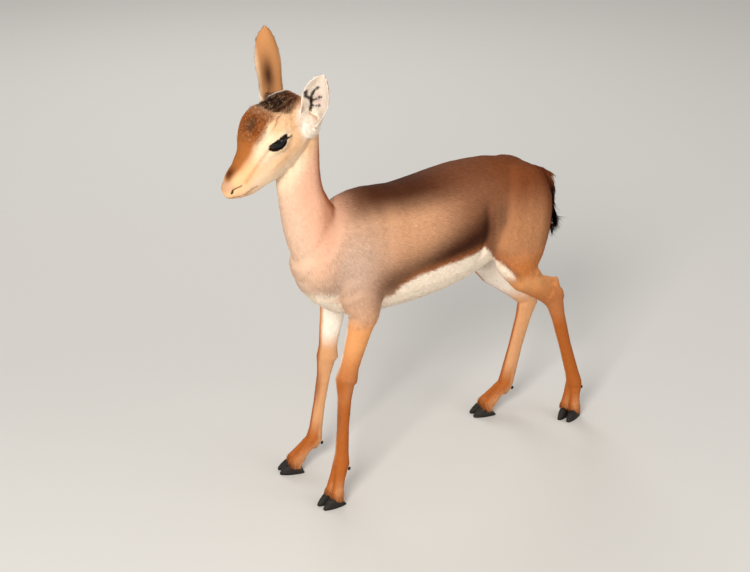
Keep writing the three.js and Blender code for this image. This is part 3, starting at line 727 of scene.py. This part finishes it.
soft = weigh(skin, "soft", softness(in_body(vertex_places(skin.data))))
reshape(skin, "SMOOTH", factor=0.5, iterations=SMOOTH_ROUNDS, vertex_group=soft)
print("smoothed")

# %% [markdown]
# ## Hollows and the depth of the coat
#
# A thin fawn shows soft hollows behind the shoulder, in the flank and at the base of the neck. Each is a
# broken line on the animal's side, along which the skin sinks a little. The same step lets the skin in by the
# coat.

# %% Soft hollows between the muscles
HOLLOWS = [
    # path as (x, z) in the body's frame, half width, depth
    ([(50, 412), (44, 385), (39, 345), (30, 312)], 13, 1.1),
    ([(213, 380), (213, 340), (207, 316)], 8, 2.4),
    ([(-24, 414), (-42, 399), (-54, 380)], 10, 1.6),
    ([(-46, 300), (-28, 303), (-10, 312), (12, 306)], 7, 1.2),
    ([(262, 300), (285, 262), (300, 244)], 9, 1.2),
]


def hollow_depth(p):
    """How far the form sinks between its muscles, in millimetres."""
    depth = np.zeros(len(p))
    for path, half_width, deepest in HOLLOWS:
        away = line_distance(p[:, 0], p[:, 2], path)
        depth = np.maximum(depth, deepest * np.exp(-((away / half_width) ** 2)))
    return depth * rise(np.abs(p[:, 1]), 14, 28) * (1 - head_share(p))


print("hollows:", len(HOLLOWS))

# %% Let the skin in by the depth of the coat and the hollows
DEEPEST = 4.4 * MM


def coat_depth(p):
    """Depth of the coat in millimetres."""
    head = head_share(p)
    local = in_head(p)
    muzzle = rise(local[:, 0], 96, 140)
    depth = 0.6 + 1.1 * rise(p[:, 2], 200, 290)
    depth = depth * rise(p[:, 2], 17, 30)
    face = 0.7 * (1 - muzzle)
    face = face * (1 - pad_share(p))
    for side in (LEFT, RIGHT):
        e = in_eye(p, side)
        face = face * rise(np.linalg.norm(e, axis=1), 17, 24)
    depth = depth * (1 - head) + face * head
    for ear in EARS.values():
        e = in_ear(p, ear)
        depth = np.where((e[:, 0] > 16) & (np.hypot(e[:, 1], e[:, 2]) < 34), 0.0, depth)
    return (depth + hollow_depth(p)) * MM


deep = weigh(skin, "deep", coat_depth(in_body(vertex_places(skin.data))) / DEEPEST, levels=60)
reshape(skin, "DISPLACE", direction="NORMAL", mid_level=0, strength=-DEEPEST, vertex_group=deep)
print("let in by up to", DEEPEST / MM, "mm")

# %% [markdown]
# ## Lids
#
# Smoothing draws the thin lids back from the eyeball. They are closed again as real lids close: each point
# turns about the middle of the ball, up or down, and keeps its distance from it, so that the lid stays on the
# ball.

# %% Close the lids on the eyeballs
LID_CLOSING = 0.34
lid_places = in_body(vertex_places(skin.data))
for side in (LEFT, RIGHT):
    e = in_eye(lid_places, side)
    near = (np.linalg.norm(e, axis=1) < 26) & (e[:, 2] > 1)
    e = e[near]
    angle = np.arctan2(e[:, 1] - 1.0, e[:, 2])
    radius = np.hypot(e[:, 1] - 1.0, e[:, 2])
    share = rise(lid_reach(e), 2.3, 1.3) * rise(np.linalg.norm(e, axis=1), 25, 18)
    angle *= 1 - LID_CLOSING * share
    e[:, 1] = radius * np.sin(angle) + 1.0
    e[:, 2] = radius * np.cos(angle)
    pose = np.array(eye_pose(side))
    lid_places[near] = e @ pose[:3, :3].T + pose[:3, 3]
move_vertices(skin, lid_places)
print("lids closed by", LID_CLOSING)

# %% Thin the net where it is flat
SKIN_TRIANGLES = 185000
triangles = sum(len(face.vertices) - 2 for face in skin.data.polygons)
reshape(skin, "DECIMATE", ratio=min(1.0, SKIN_TRIANGLES / triangles))
skin.name = "skin"
for face in skin.data.polygons:
    face.use_smooth = True
print("skin keeps", len(skin.data.polygons), "of", triangles, "triangles")

# %% [markdown]
# ## An unwrap of the skin
#
# The skin is unwrapped by its own shape onto a map named OFBake, and each tuft of fur later gets a tiny
# patch at the place of its root on that unwrap, so a tuft and the skin under it share one neighbourhood of
# the map.

# %% Unwrap the skin
bpy.ops.object.select_all(action="DESELECT")
bpy.context.view_layer.objects.active = skin
skin.select_set(True)
skin.data.uv_layers.new(name="OFBake")
bpy.ops.object.mode_set(mode="EDIT")
bpy.ops.mesh.select_all(action="SELECT")
bpy.ops.uv.smart_project(angle_limit=math.radians(75), island_margin=0.001)
bpy.ops.object.mode_set(mode="OBJECT")
print("unwrapped", len(skin.data.loops), "corners")

# %% Paint the markings on the skin
skin_places = vertex_places(skin.data)
skin_normals = vertex_normals(skin.data)
skin_nodes = nearest_nodes(skin_places)
skin_colours = coat_colour(in_body(skin_places), skin_normals, skin_nodes)


def paint(mesh, colours):
    """Stores one colour a vertex."""
    layer = mesh.color_attributes.new(name="coat_tint", type="FLOAT_COLOR", domain="POINT")
    values = np.column_stack([colours, np.ones(len(colours))]).astype(np.float32)
    layer.data.foreach_set("color", values.ravel())


paint(skin.data, skin_colours)
print("painted", len(skin_colours), "places")

# %% [markdown]
# ## Materials of skin and hair
#
# Both take the painted tint and add what a real coat has at a smaller scale. The skin gets a fine streaky
# relief and slight unevenness. A hair is darker at its root, where light doesn't reach, and paler towards its
# tip. Hair is mottled twice, finely from strand to strand and more coarsely from clump to clump.

# %% A helper for node materials


class Look:
    """A material, and short ways to add nodes to it."""

    def __init__(self, name, roughness, specular):
        self.material = bpy.data.materials.new(name)
        self.material.use_nodes = True
        self.link = self.material.node_tree.links.new
        self.shader = self.material.node_tree.nodes["Principled BSDF"].inputs
        self.shader["Roughness"].default_value = roughness
        self.shader["Specular IOR Level"].default_value = specular

    def node(self, kind, inputs=None, **settings):
        """A new node with plain values on some inputs and its own settings."""
        made = self.material.node_tree.nodes.new("ShaderNode" + kind)
        for key, value in (inputs or {}).items():
            made.inputs[key].default_value = value
        for key, value in settings.items():
            setattr(made, key, value)
        return made

    def noise(self, scale, detail, stretch=(1, 1, 1)):
        """Noise that is fixed to the piece, through Object coordinates."""
        mapping = self.node("Mapping", {"Scale": stretch})
        noise = self.node("TexNoise", {"Scale": scale, "Detail": detail})
        self.link(self.node("TexCoord").outputs["Object"], mapping.inputs["Vector"])
        self.link(mapping.outputs["Vector"], noise.inputs["Vector"])
        return noise.outputs["Fac"]

    def remap(self, source, low, high):
        """Turns 0..1 into low..high."""
        ranged = self.node("MapRange", {"To Min": low, "To Max": high})
        self.link(source, ranged.inputs["Value"])
        return ranged.outputs["Result"]

    def shade(self, colour, factor, low, high):
        """Multiplies a colour by a 0..1 value turned into low..high."""
        scaled = self.node("VectorMath", operation="SCALE")
        self.link(colour, scaled.inputs[0])
        self.link(self.remap(factor, low, high), scaled.inputs["Scale"])
        return scaled.outputs["Vector"]

    def ramp(self, source, *stops):
        """Colours by a 0..1 value, from stops of (place, red, green, blue)."""
        made = self.node("ValToRGB")
        elements = made.color_ramp.elements
        for index, (place, *colour) in enumerate(stops):
            stop = elements[index] if index < 2 else elements.new(place)
            stop.position = place
            stop.color = (*colour, 1)
        self.link(source, made.inputs["Fac"])
        self.link(made.outputs["Color"], self.shader["Base Color"])

    def bump(self, height, distance, strength):
        """Fine relief from a 0..1 height."""
        relief = self.node("Bump", {"Strength": strength, "Distance": distance})
        self.link(height, relief.inputs["Height"])
        self.link(relief.outputs["Normal"], self.shader["Normal"])


print("material helper ready")

# %% Skin and hair
skin_look = Look("skin_under_fur", roughness=0.8, specular=0.1)
tint = skin_look.node("Attribute", attribute_name="coat_tint").outputs["Color"]
fine = skin_look.noise(scale=420, detail=4)
skin_look.link(skin_look.shade(tint, fine, 0.84, 1.02), skin_look.shader["Base Color"])
skin_look.bump(fine, distance=0.0006, strength=0.6)
skin.data.materials.clear()
skin.data.materials.append(skin_look.material)

hair_look = Look("short_hair", roughness=0.66, specular=0.08)
tint = hair_look.node("Attribute", attribute_name="coat_tint").outputs["Color"]
along = hair_look.node("Attribute", attribute_name="along_hair").outputs["Fac"]
tipped = hair_look.shade(tint, along, 0.88, 1.08)
stranded = hair_look.shade(tipped, hair_look.noise(scale=900, detail=2), 0.86, 1.12)
clumped = hair_look.shade(stranded, hair_look.noise(scale=170, detail=3), 0.7, 1.3)
hair_look.link(clumped, hair_look.shader["Base Color"])
print("materials:", skin_look.material.name, hair_look.material.name)

# %% Hand the skin over to the frame
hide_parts(*flesh_names)
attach(skin, "root")
print("the skin stands for", len(flesh_names), "solids")

# %% [markdown]
# ## The lie of the coat
#
# Hair doesn't grow at random. It runs from the nose back over the face, from a whorl on the forehead
# outwards, down the neck, back along the trunk, and down the legs. Tufts that follow this flow catch the
# light as a sleek coat does.

# %% Direction that the hair points


def lie_of_coat(p, n, nodes):
    """Unit directions along the surface, in which hair points, at places p of the body's frame."""
    s, y, h = in_head(p).T
    flow = layered(
        np.array([1.0, 0, -0.38]),
        (np.array([0.55, 0, -1.0]), rise(p[:, 0], 215, 270) * rise(p[:, 2], 430, 350)),
        (np.array([0.45, 0, -1.0]), rise(p[:, 0], 45, -20) * rise(p[:, 2], 420, 340)),
        (np.array([0.35, 0, -1.0]), neck_share(p)),
        (np.array([0.12, 0, -1.0]), rise(p[:, 2], 290, 235) * named(nodes, "fore", "hind")),
        (np.array([0.1, 0, -1.0]), named(nodes, "tail")),
        (HEAD_AXES @ np.array([1.0, 0, -0.12]), head_share(p)),
    )
    from_whorl = np.column_stack([WHORL_AT[0] - s, y - WHORL_AT[1], np.zeros(len(p))])
    distance = np.linalg.norm(from_whorl, axis=1)
    whorl = rise(distance, 26, 12) * rise(h, 24, 31) * head_share(p)
    flow = mix(flow, unit(from_whorl, 1e-6) @ HEAD_AXES.T, whorl)
    for name, ear in EARS.items():
        flow[named(nodes, name) > 0] = ear["axes"][0]
    flow -= n * np.sum(flow * n, axis=1, keepdims=True)
    return unit(flow, 1e-9)


print("lie of the coat ready")

# %% [markdown]
# ## Tufts
#
# A tuft is the smallest solid that reads as hair: three-sided, wide and buried at its root, pointed at its
# tip. Long hair is bent once at its middle and has ten triangles. Short hair is a plain spike of four, so
# that more than two hundred thousand of them stay within what the model may hold. Each tuft takes the light
# as the surface under it does, which makes many small solids read as one sleek coat instead of a heap of
# chips.

# %% Even scatter over the skin
skin.data.calc_loop_triangles()
corner_count = len(skin.data.loop_triangles)
skin_corners = read_array(skin.data.loop_triangles, "vertices", 3, np.int32)
skin_loops = read_array(skin.data.loop_triangles, "loops", 3, np.int32)
skin_uv = read_array(skin.data.uv_layers["OFBake"].data, "uv", 2)
face_middles = in_body(skin_places[skin_corners].mean(axis=1))
edges = skin_places[skin_corners[:, 1:]] - skin_places[skin_corners[:, :1]]
face_areas = np.linalg.norm(np.cross(edges[:, 0], edges[:, 1]), axis=1) / 2 / MM**2
face_nodes = skin_nodes[skin_corners[:, 0]]
print("skin area", round(face_areas.sum() / 100), "square centimetres")


def scatter(share, spacing, seed):
    """Roots spread evenly over the faces, `spacing` millimetres apart, thinned by `share` per face."""
    random = np.random.default_rng(seed)
    weights = np.cumsum(face_areas * share / spacing**2)
    count = int(weights[-1])
    picks = (np.arange(count) + random.random(count)) * weights[-1] / count
    faces = np.minimum(np.searchsorted(weights, picks), corner_count - 1)
    root = np.sqrt(random.random(count))
    slide = random.random(count)
    blend = np.column_stack([1 - root, root * (1 - slide), root * slide])
    corners = skin_corners[faces]
    normals = np.einsum("ij,ijk->ik", blend, skin_normals[corners])
    soft = np.einsum("ij,ijk->ik", blend, soft_normals[corners])
    return {
        "random": random,
        "at": np.einsum("ij,ijk->ik", blend, skin_places[corners]),
        "normal": unit(normals),
        "soft": unit(soft),
        "uv": np.einsum("ij,ijk->ik", blend, skin_uv[skin_loops[faces]]),
        "node": face_nodes[faces],
    }


# %% Softened normals, for the way tufts take the light
SOFT_ROUNDS = 14
skin_edges = read_array(skin.data.edges, "vertices", 2, np.int32)
soft_normals = skin_normals.copy()
for _ in range(SOFT_ROUNDS):
    pulled = soft_normals.copy()
    for here, there in ((0, 1), (1, 0)):
        for axis in range(3):
            beside = soft_normals[skin_edges[:, there], axis]
            pulled[:, axis] += np.bincount(skin_edges[:, here], beside, len(skin_places))
    soft_normals = unit(pulled)
print("normals softened in", SOFT_ROUNDS, "rounds")


def lit_from_above(roots):
    """Turns the way that roots on the forehead take the light towards the head's own up."""
    roots["soft"] = unit(roots["soft"] + HEAD_AXES[:, 2])
    return roots


# %% Two forms of tuft: a bent lock for long hair, and a plain spike for short hair
UV_PATCH = 0.003
BEND_WIDTH = 0.42
THICKNESS = 0.3
SIDE_BEND = 0.16
LOCK = {
    "faces": [
        (0, 3, 5), (0, 5, 2), (2, 5, 4), (2, 4, 1), (1, 4, 3), (1, 3, 0),
        (3, 6, 5), (5, 6, 4), (4, 6, 3), (0, 2, 1),
    ],
    "side": [0.5, -0.5, 0, BEND_WIDTH, -BEND_WIDTH, 0, 0],
    "uv": [(-0.5, -0.5), (0.5, -0.5), (0, -0.5), (-0.3, 0), (0.3, 0), (0, 0.1), (0, 0.5)],
    "along": [0, 0, 0, 0.5, 0.5, 0.5, 1],
}
SPIKE = {
    "faces": [(0, 3, 2), (2, 3, 1), (1, 3, 0), (0, 2, 1)],
    "side": [0.5, -0.5, 0, 0],
    "uv": [(-0.5, -0.5), (0.5, -0.5), (0, -0.3), (0, 0.5)],
    "along": [0, 0, 0, 1],
}
TRIANGLES_A_PIECE = 195000
ROUNDNESS = 0.8
ABOVE_FLOOR = 0.4 * MM


def tuft_points(form, roots, flow, length, width, lift, sink=0.35):
    """The points of every tuft. Length, width, lift and sink are in millimetres, one number or one a tuft."""
    count = len(roots["at"])
    length, width, lift = (np.broadcast_to(value, count)[:, None] * MM for value in (length, width, lift))
    up = roots["normal"]
    side = np.cross(flow, up)
    bend = roots["random"].normal(0, SIDE_BEND, (count, 1))
    start = roots["at"] - up * sink * MM
    middle = roots["at"] + flow * length * 0.5 + up * lift
    tip = roots["at"] + (flow + side * bend) * length + up * lift * 0.9
    thick = width * THICKNESS
    points = [start + side * width / 2, start - side * width / 2, start + up * thick]
    if form is LOCK:
        half = side * width * BEND_WIDTH
        points += [middle + half, middle - half, middle + up * thick]
    points = np.stack(points + [tip], axis=1)
    points[:, :, 2] = np.maximum(points[:, :, 2], ABOVE_FLOOR)
    return points


def tuft_normals(form, flow, up):
    """The way each point takes the light: as the coat's surface does, a little rounded from side to side."""
    side = np.cross(flow, up)
    normals = up[:, None, :] + side[:, None, :] * np.array(form["side"])[None, :, None] * ROUNDNESS
    return normals / np.linalg.norm(normals, axis=2, keepdims=True)


def build_tufts(name, form, points, normals, uv, tints):
    """Joined tufts as one mesh, from arrays."""
    count, each = points.shape[:2]
    verts = points.reshape(-1, 3).astype(np.float32)
    faces = (np.array(form["faces"])[None] + each * np.arange(count)[:, None, None]).reshape(-1)
    mesh = bpy.data.meshes.new(name)
    mesh.vertices.add(len(verts))
    mesh.vertices.foreach_set("co", verts.ravel())
    mesh.loops.add(len(faces))
    mesh.loops.foreach_set("vertex_index", faces.astype(np.int32))
    mesh.polygons.add(len(faces) // 3)
    mesh.polygons.foreach_set("loop_start", np.arange(0, len(faces), 3, dtype=np.int32))
    mesh.update(calc_edges=True)
    mesh.normals_split_custom_set_from_vertices(normals.reshape(-1, 3))
    layer = mesh.uv_layers.new(name="OFBake")
    patch = np.array(form["uv"]) * UV_PATCH
    patches = np.clip(uv[:, None, :] + patch[None], 0, 1).reshape(-1, 2)
    layer.data.foreach_set("uv", patches[faces].astype(np.float32).ravel())
    paint(mesh, np.repeat(tints, each, axis=0))
    along_layer = mesh.attributes.new("along_hair", "FLOAT", "POINT")
    along_layer.data.foreach_set("value", np.tile(form["along"], count).astype(np.float32))
    mesh.materials.append(hair_look.material)
    piece = add_object(name, mesh)
    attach(piece, "root")
    return piece


# %% Grow a region of the coat
tuft_total = 0


def grow(name, roots, form, length, width, lift, jitter=0.1, stray=0.16, pale_tips=0.0):
    """Grows one region of the coat, split into pieces of at most TRIANGLES_A_PIECE triangles."""
    global tuft_total
    count = len(roots["at"])
    random = roots["random"]
    p = in_body(roots["at"])
    flow = lie_of_coat(p, roots["normal"], roots["node"])
    side = np.cross(flow, roots["normal"])
    flow = unit(flow + side * random.normal(0, stray, (count, 1)))
    vary = random.normal(1, 0.14, count).clip(0.6, 1.4)
    lift = lift * random.normal(1, 0.25, count).clip(0.3, 2)
    points = tuft_points(form, roots, flow, length * vary, width, lift)
    normals = tuft_normals(form, flow, roots["soft"])
    tints = coat_colour(p, roots["normal"], roots["node"])
    tints = tints * random.normal(1, jitter, (count, 1)).clip(0.6, 1.5)
    if pale_tips:
        frosted = random.random(count) < pale_tips
        tints[frosted] = mix(tints[frosted], FROSTED_TIP, np.full(frosted.sum(), 0.45))
    parts = -(-count * len(form["faces"]) // TRIANGLES_A_PIECE)
    for part in range(parts):
        some = slice(part * count // parts, (part + 1) * count // parts)
        label = name if parts == 1 else f"{name}_{part + 1}"
        build_tufts(label, form, points[some], normals[some], roots["uv"][some], tints[some].clip(0, 1))
    tuft_total += count * len(form["faces"])
    print(name, count, "tufts in", parts, "pieces")


# %% [markdown]
# ## The coat, region by region
#
# The shares below say which faces belong to a region. Around the eye, in the nostrils and on the lips the
# skin stays bare. Hair is shortest on the face and feet and longest on the trunk.

# %% Shares of the regions
LOW_LEG_TOP = 262
CORONET_TOP = 24
on_head = head_share(face_middles) > 0.5
on_ear = np.isin(face_nodes, list(EARS))
on_tail = face_nodes == "tail"
low_leg = (named(face_nodes, "fore", "hind") > 0) & (face_middles[:, 2] < LOW_LEG_TOP)
bare = np.zeros(corner_count)
for side in (LEFT, RIGHT):
    e = in_eye(face_middles, side)
    bare = np.maximum(bare, rise(lid_reach(e), 1.3, 1.22) * rise(e[:, 2], 0, 4))
s, y, h = in_head(face_middles).T
bare = np.maximum(bare, (line_distance(s, h, NOSTRIL_PATH) < 1.3) & (np.abs(y) > 3) & on_head)
bare = np.maximum(bare, (line_distance(s, h, MOUTH_PATH) < 0.9) & (s > 116))
upward = skin_normals[skin_corners[:, 0]] @ HEAD_AXES[:, 2]
in_forelock = (upward > 0.2) & (s > 44) & (s < 90) & (h > 28) & (np.abs(y) < 25) & on_head
on_crown = (s < 46) & (s > -4) & (h > 18) & on_head & ~on_ear & (upward > 0)
on_face = on_head & ~on_ear & ~on_crown
rest_of_body = ~on_ear & ~on_tail & ~low_leg & ~on_head
on_neck = rest_of_body & (neck_share(face_middles) > 0.5)
on_trunk = rest_of_body & ~on_neck
print("faces of neck, trunk, face, legs:", on_neck.sum(), on_trunk.sum(), on_face.sum(), low_leg.sum())

# %% Trunk and neck
grow("coat_trunk", scatter(on_trunk, 1.5, 11), SPIKE, length=8.0, width=0.75, lift=0.45, jitter=0.16)
grow("coat_neck", scatter(on_neck, 1.4, 12), SPIKE, length=7.0, width=0.7, lift=0.4, jitter=0.1)

# %% Legs
grow("coat_legs", scatter(low_leg, 1.2, 13), SPIKE, length=4.6, width=0.62, lift=0.3, jitter=0.08)
near_hoof = low_leg & (face_middles[:, 2] < CORONET_TOP)
grow("coronet_fringe", scatter(near_hoof, 1.4, 20), LOCK, length=7.0, width=0.7, lift=0.7, jitter=0.1)

# %% Face and crown
roots = scatter(on_face * (1 - bare), 1.05, 14)
toward_nose = rise(in_head(in_body(roots["at"]))[:, 0], 84, 148)
grow(
    "coat_face", roots, SPIKE, length=4.4 - 2.6 * toward_nose, width=0.62 - 0.22 * toward_nose,
    lift=0.32 - 0.2 * toward_nose, jitter=0.07,
)
grow(
    "coat_crown", lit_from_above(scatter(on_crown, 1.2, 15)), LOCK,
    length=5.5, width=0.65, lift=0.7, jitter=0.16, pale_tips=0.08,
)

# %% Forelock, a rounded pad of short curls
grow(
    "forelock", lit_from_above(scatter(in_forelock, 1.0, 16)), LOCK,
    length=4.6, width=0.7, lift=1.0, jitter=0.24, stray=0.9, pale_tips=0.12,
)

# %% Ears, inside and out
ear_inside = np.zeros(corner_count, bool)
face_normals = unit(np.cross(edges[:, 0], edges[:, 1]), 1e-12)
off_rim = np.sum(face_normals * soft_normals[skin_corners[:, 0]], axis=1) > 0.86
dark_line = np.full(corner_count, 1e9)
for name, ear in EARS.items():
    mine = face_nodes == name
    ear_inside |= mine & (face_normals @ ear["axes"][2] > 0.1)
    e = in_ear(face_middles, ear)
    for path in EAR_LINES:
        near = line_distance(e[:, 0], e[:, 1] * -ear["front"], path)
        dark_line = np.where(mine, np.minimum(dark_line, near), dark_line)
grow("ear_backs", scatter(on_ear & ~ear_inside & off_rim, 1.15, 17), SPIKE, length=3.0, width=0.62, lift=0.2)
grow(
    "ear_linings", scatter(ear_inside * off_rim * rise(dark_line, 0.8, 1.9), 1.4, 18), LOCK,
    length=3.4, width=0.6, lift=0.3, stray=0.25, jitter=0.05,
)
foot_share = np.zeros(corner_count)
for ear in EARS.values():
    foot_share = np.maximum(foot_share, ear_foot(face_middles, face_normals, ear))
grow(
    "ear_fluff", scatter(foot_share * rise(foot_share, 0.2, 0.6), 1.5, 21), LOCK,
    length=6.5, width=0.55, lift=0.8, stray=0.3, jitter=0.06,
)

# %% [markdown]
# ## Single strands
#
# A few hairs are placed one by one: the lashes along the rim of each upper lid, whose outline is a slanting
# ellipse in the eye's frame, and a wisp that stands up beside the forelock.

# %% Single strands: lashes and the wisp beside the forelock
LASHES = 17
LASH_LENGTH = 3.0
LASH_WIDTH = 0.3
LASH_TURN = (48, 150)
LASH_SLANT = 1.4
WISP_LENGTH = 9.0
WISP_WIDTH = 0.35
WISP = [(50, 18, 41), (52, 20, 40), (47, 19, 39), (49, 16, 42), (53, 17, 42), (46, 16, 41)]


def grow_strands(name, places, directions, length, width, tint):
    """Single hairs at given places of the body's frame, each in its own direction."""
    directions = unit(np.array(directions, float))
    at = (np.array(places, float) + FRAME_SHIFT) * MM
    nearest = [int(np.argmin(np.sum((skin_places[skin_corners[:, 0]] - place) ** 2, axis=1))) for place in at]
    up = unit(np.cross(directions, np.array([0.3, 0.2, 1.0])))
    roots = {"random": np.random.default_rng(31), "at": at, "normal": up}
    points = tuft_points(LOCK, roots, directions, length, width, lift=0.3, sink=0.1)
    normals = tuft_normals(LOCK, directions, up)
    uv = skin_uv[skin_loops[nearest, 0]]
    build_tufts(name, LOCK, points, normals, uv, np.tile(tint, (len(at), 1)))
    print(name, len(at), "strands")


for name, side in (("lashes_left", LEFT), ("lashes_right", RIGHT)):
    turn = np.radians(np.linspace(*LASH_TURN, LASHES))
    on_lid = LID_MIDDLE + np.column_stack([np.cos(turn), np.sin(turn)]) * LID_HALF_SIZE
    on_lid[:, 1] -= LASH_SLANT * np.cos(turn)
    depth = np.sqrt(EYE_RADIUS**2 - np.minimum((on_lid**2).sum(axis=1), 0.9 * EYE_RADIUS**2)) + 0.8
    local = np.column_stack([on_lid, depth])
    outward = np.column_stack([on_lid[:, 0] * 0.03 + 0.2, np.full(LASHES, -0.05), np.full(LASHES, 0.75)])
    pose = np.array(eye_pose(side))
    at = local @ pose[:3, :3].T + pose[:3, 3]
    grow_strands(name, at, outward @ pose[:3, :3].T, LASH_LENGTH, LASH_WIDTH, BARE_DARK)
wisp_places = [head_pose @ Vector((-s, y, h)) for s, y, h in WISP]
wisp_leans = [HEAD_AXES @ np.array([0.35 + 0.1 * i, 0.1 - 0.12 * i, 1.0]) for i in range(len(WISP))]
grow_strands("wisp", wisp_places, wisp_leans, WISP_LENGTH, WISP_WIDTH, FROSTED_TIP)

# %% Tail brush
grow("tail_brush", scatter(on_tail, 1.7, 19), LOCK, length=17.0, width=1.2, lift=0.8, stray=0.14)
print("triangles of hair in all:", tuft_total)

# %% [markdown]
# ## Eyes
#
# A gazelle's eye is a large glossy ball, nearly black, with a level oval pupil in a very dark brown iris. A
# plain sphere would look like a bead, so the front is drawn out a little as the cornea, and the iris is
# shaded by the angle from the eye's own axis.

# %% Eye material


def eye_look(side):
    """Dark brown iris round a black pupil, from the direction out of the eyeball's middle."""
    look = Look("eye_left_look" if side == LEFT else "eye_right_look", roughness=0.03, specular=0.3)
    pose = eye_pose(side)
    offset = look.node("VectorMath", {1: to_model(pose.translation)}, operation="SUBTRACT")
    straight = look.node("VectorMath", operation="NORMALIZE")
    facing = look.node("VectorMath", {1: pose.to_3x3().col[2]}, operation="DOT_PRODUCT")
    look.link(look.node("TexCoord").outputs["Object"], offset.inputs[0])
    look.link(offset.outputs["Vector"], straight.inputs[0])
    look.link(straight.outputs["Vector"], facing.inputs[0])
    look.ramp(
        facing.outputs["Value"],
        (0.42, 0.22, 0.17, 0.13),
        (0.52, 0.012, 0.007, 0.004),
        (0.72, 0.028, 0.014, 0.007),
        (0.86, 0.002, 0.002, 0.002),
    )
    return look.material


# %% Eyeballs


def make_eye(name, side):
    """A smooth eyeball whose front is drawn out as the cornea, in the place of its solid."""
    ball = bmesh.new()
    bmesh.ops.create_uvsphere(ball, u_segments=48, v_segments=32, radius=EYE_RADIUS)
    for vert in ball.verts:
        front = max(0.0, vert.co.z / EYE_RADIUS - 0.55) / 0.45
        vert.co.z += 0.5 * front**2
    placed = Matrix.Translation(Vector(FRAME_SHIFT)) @ eye_pose(side)
    bmesh.ops.transform(ball, matrix=Matrix.Scale(MM, 4) @ placed, verts=ball.verts)
    bmesh.ops.recalc_face_normals(ball, faces=ball.faces)
    for face in ball.faces:
        face.smooth = True
    mesh = bpy.data.meshes.new(name + "_ball")
    ball.to_mesh(mesh)
    ball.free()
    mesh.materials.append(eye_look(side))
    piece = add_object(name + "_ball", mesh)
    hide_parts(name)
    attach(piece, "root")
    return piece


for name, side in (("eye_left", LEFT), ("eye_right", RIGHT)):
    print(make_eye(name, side).name)

# %% [markdown]
# ## Hooves and dewclaws
#
# The solids already have the hooves' shape. A copy with its edges rounded by a small bevel catches light as
# worn horn does, and the material adds growth rings, which run level round a hoof.

# %% Horn material
horn_look = Look("horn", roughness=0.6, specular=0.25)
rings = horn_look.noise(scale=90, detail=4, stretch=(0.25, 0.25, 6))
horn_look.ramp(rings, (0.3, 0.005, 0.004, 0.004), (0.75, 0.030, 0.024, 0.019))
horn_look.link(horn_look.remap(rings, 0.5, 0.8), horn_look.shader["Roughness"])
horn_look.bump(rings, distance=0.0005, strength=0.5)
print("horn ready")

# %% Rounded copies of the horn pieces
WELD = 1e-5
DEWCLAW_SHOWN = 0.72


def round_horn(name):
    """A copy of one horn solid with rounded edges and smooth faces."""
    horn = bmesh.new()
    horn.from_mesh(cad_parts[name].data)
    bmesh.ops.remove_doubles(horn, verts=horn.verts, dist=WELD)
    if "dewclaw" in name:
        middle = sum((vert.co for vert in horn.verts), Vector()) / len(horn.verts)
        root = finder.find_nearest(middle)[0]
        for vert in horn.verts:
            vert.co = root + (vert.co - root) * DEWCLAW_SHOWN
    for face in horn.faces:
        face.smooth = True
    mesh = bpy.data.meshes.new(name + "_horn")
    horn.to_mesh(mesh)
    horn.free()
    mesh.materials.append(horn_look.material)
    piece = add_object(name + "_horn", mesh)
    edge = piece.modifiers.new("edge", "BEVEL")
    edge.width = 0.5 * MM
    edge.segments = 2
    edge.angle_limit = math.radians(40)
    edge.harden_normals = True
    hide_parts(name)
    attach(piece, "root")


horn_names = sorted(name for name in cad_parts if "hoof" in name or "dewclaw" in name)
for name in horn_names:
    round_horn(name)
print("horn pieces:", len(horn_names))

# %% [markdown]
# ## Studio
#
# A pale floor so wide that its edge is never near, one large soft light from the front left, where the
# photograph's sun stands, a fill from the right and a light behind that draws the outline of the coat.

# %% Floor and lights
FLOOR_HALF = 6.0
floor_form = bmesh.new()
bmesh.ops.create_grid(floor_form, x_segments=8, y_segments=8, size=FLOOR_HALF)
floor_mesh = bpy.data.meshes.new("floor")
floor_form.to_mesh(floor_mesh)
floor_form.free()
floor = add_object("floor", floor_mesh)
floor_look = Look("pale_floor", roughness=0.9, specular=0.1)
floor_look.shader["Base Color"].default_value = (0.60, 0.585, 0.56, 1)
floor_mesh.materials.append(floor_look.material)


def add_light(name, place, size, power, colour=(1, 1, 1)):
    """A square soft light that looks at the animal's middle."""
    data = bpy.data.lights.new(name, "AREA")
    data.size = size
    data.energy = power
    data.color = colour
    lamp = add_object(name, data)
    lamp.location = place
    lamp.rotation_euler = (Vector((0, 0, 0.3)) - Vector(place)).to_track_quat("-Z", "Y").to_euler()


add_light("key", (-2.1, -1.7, 1.75), size=0.9, power=86, colour=(1.0, 0.96, 0.9))
add_light("fill", (1.6, -2.6, 1.4), size=1.6, power=20)
add_light("rim", (0.9, 2.2, 1.9), size=1.2, power=22)
world = bpy.data.worlds.new("studio")
world.use_nodes = True
backdrop = world.node_tree.nodes["Background"]
backdrop.inputs["Color"].default_value = (1.0, 0.985, 0.96, 1)
backdrop.inputs["Strength"].default_value = 0.55
bpy.context.scene.world = world
print("studio lit")
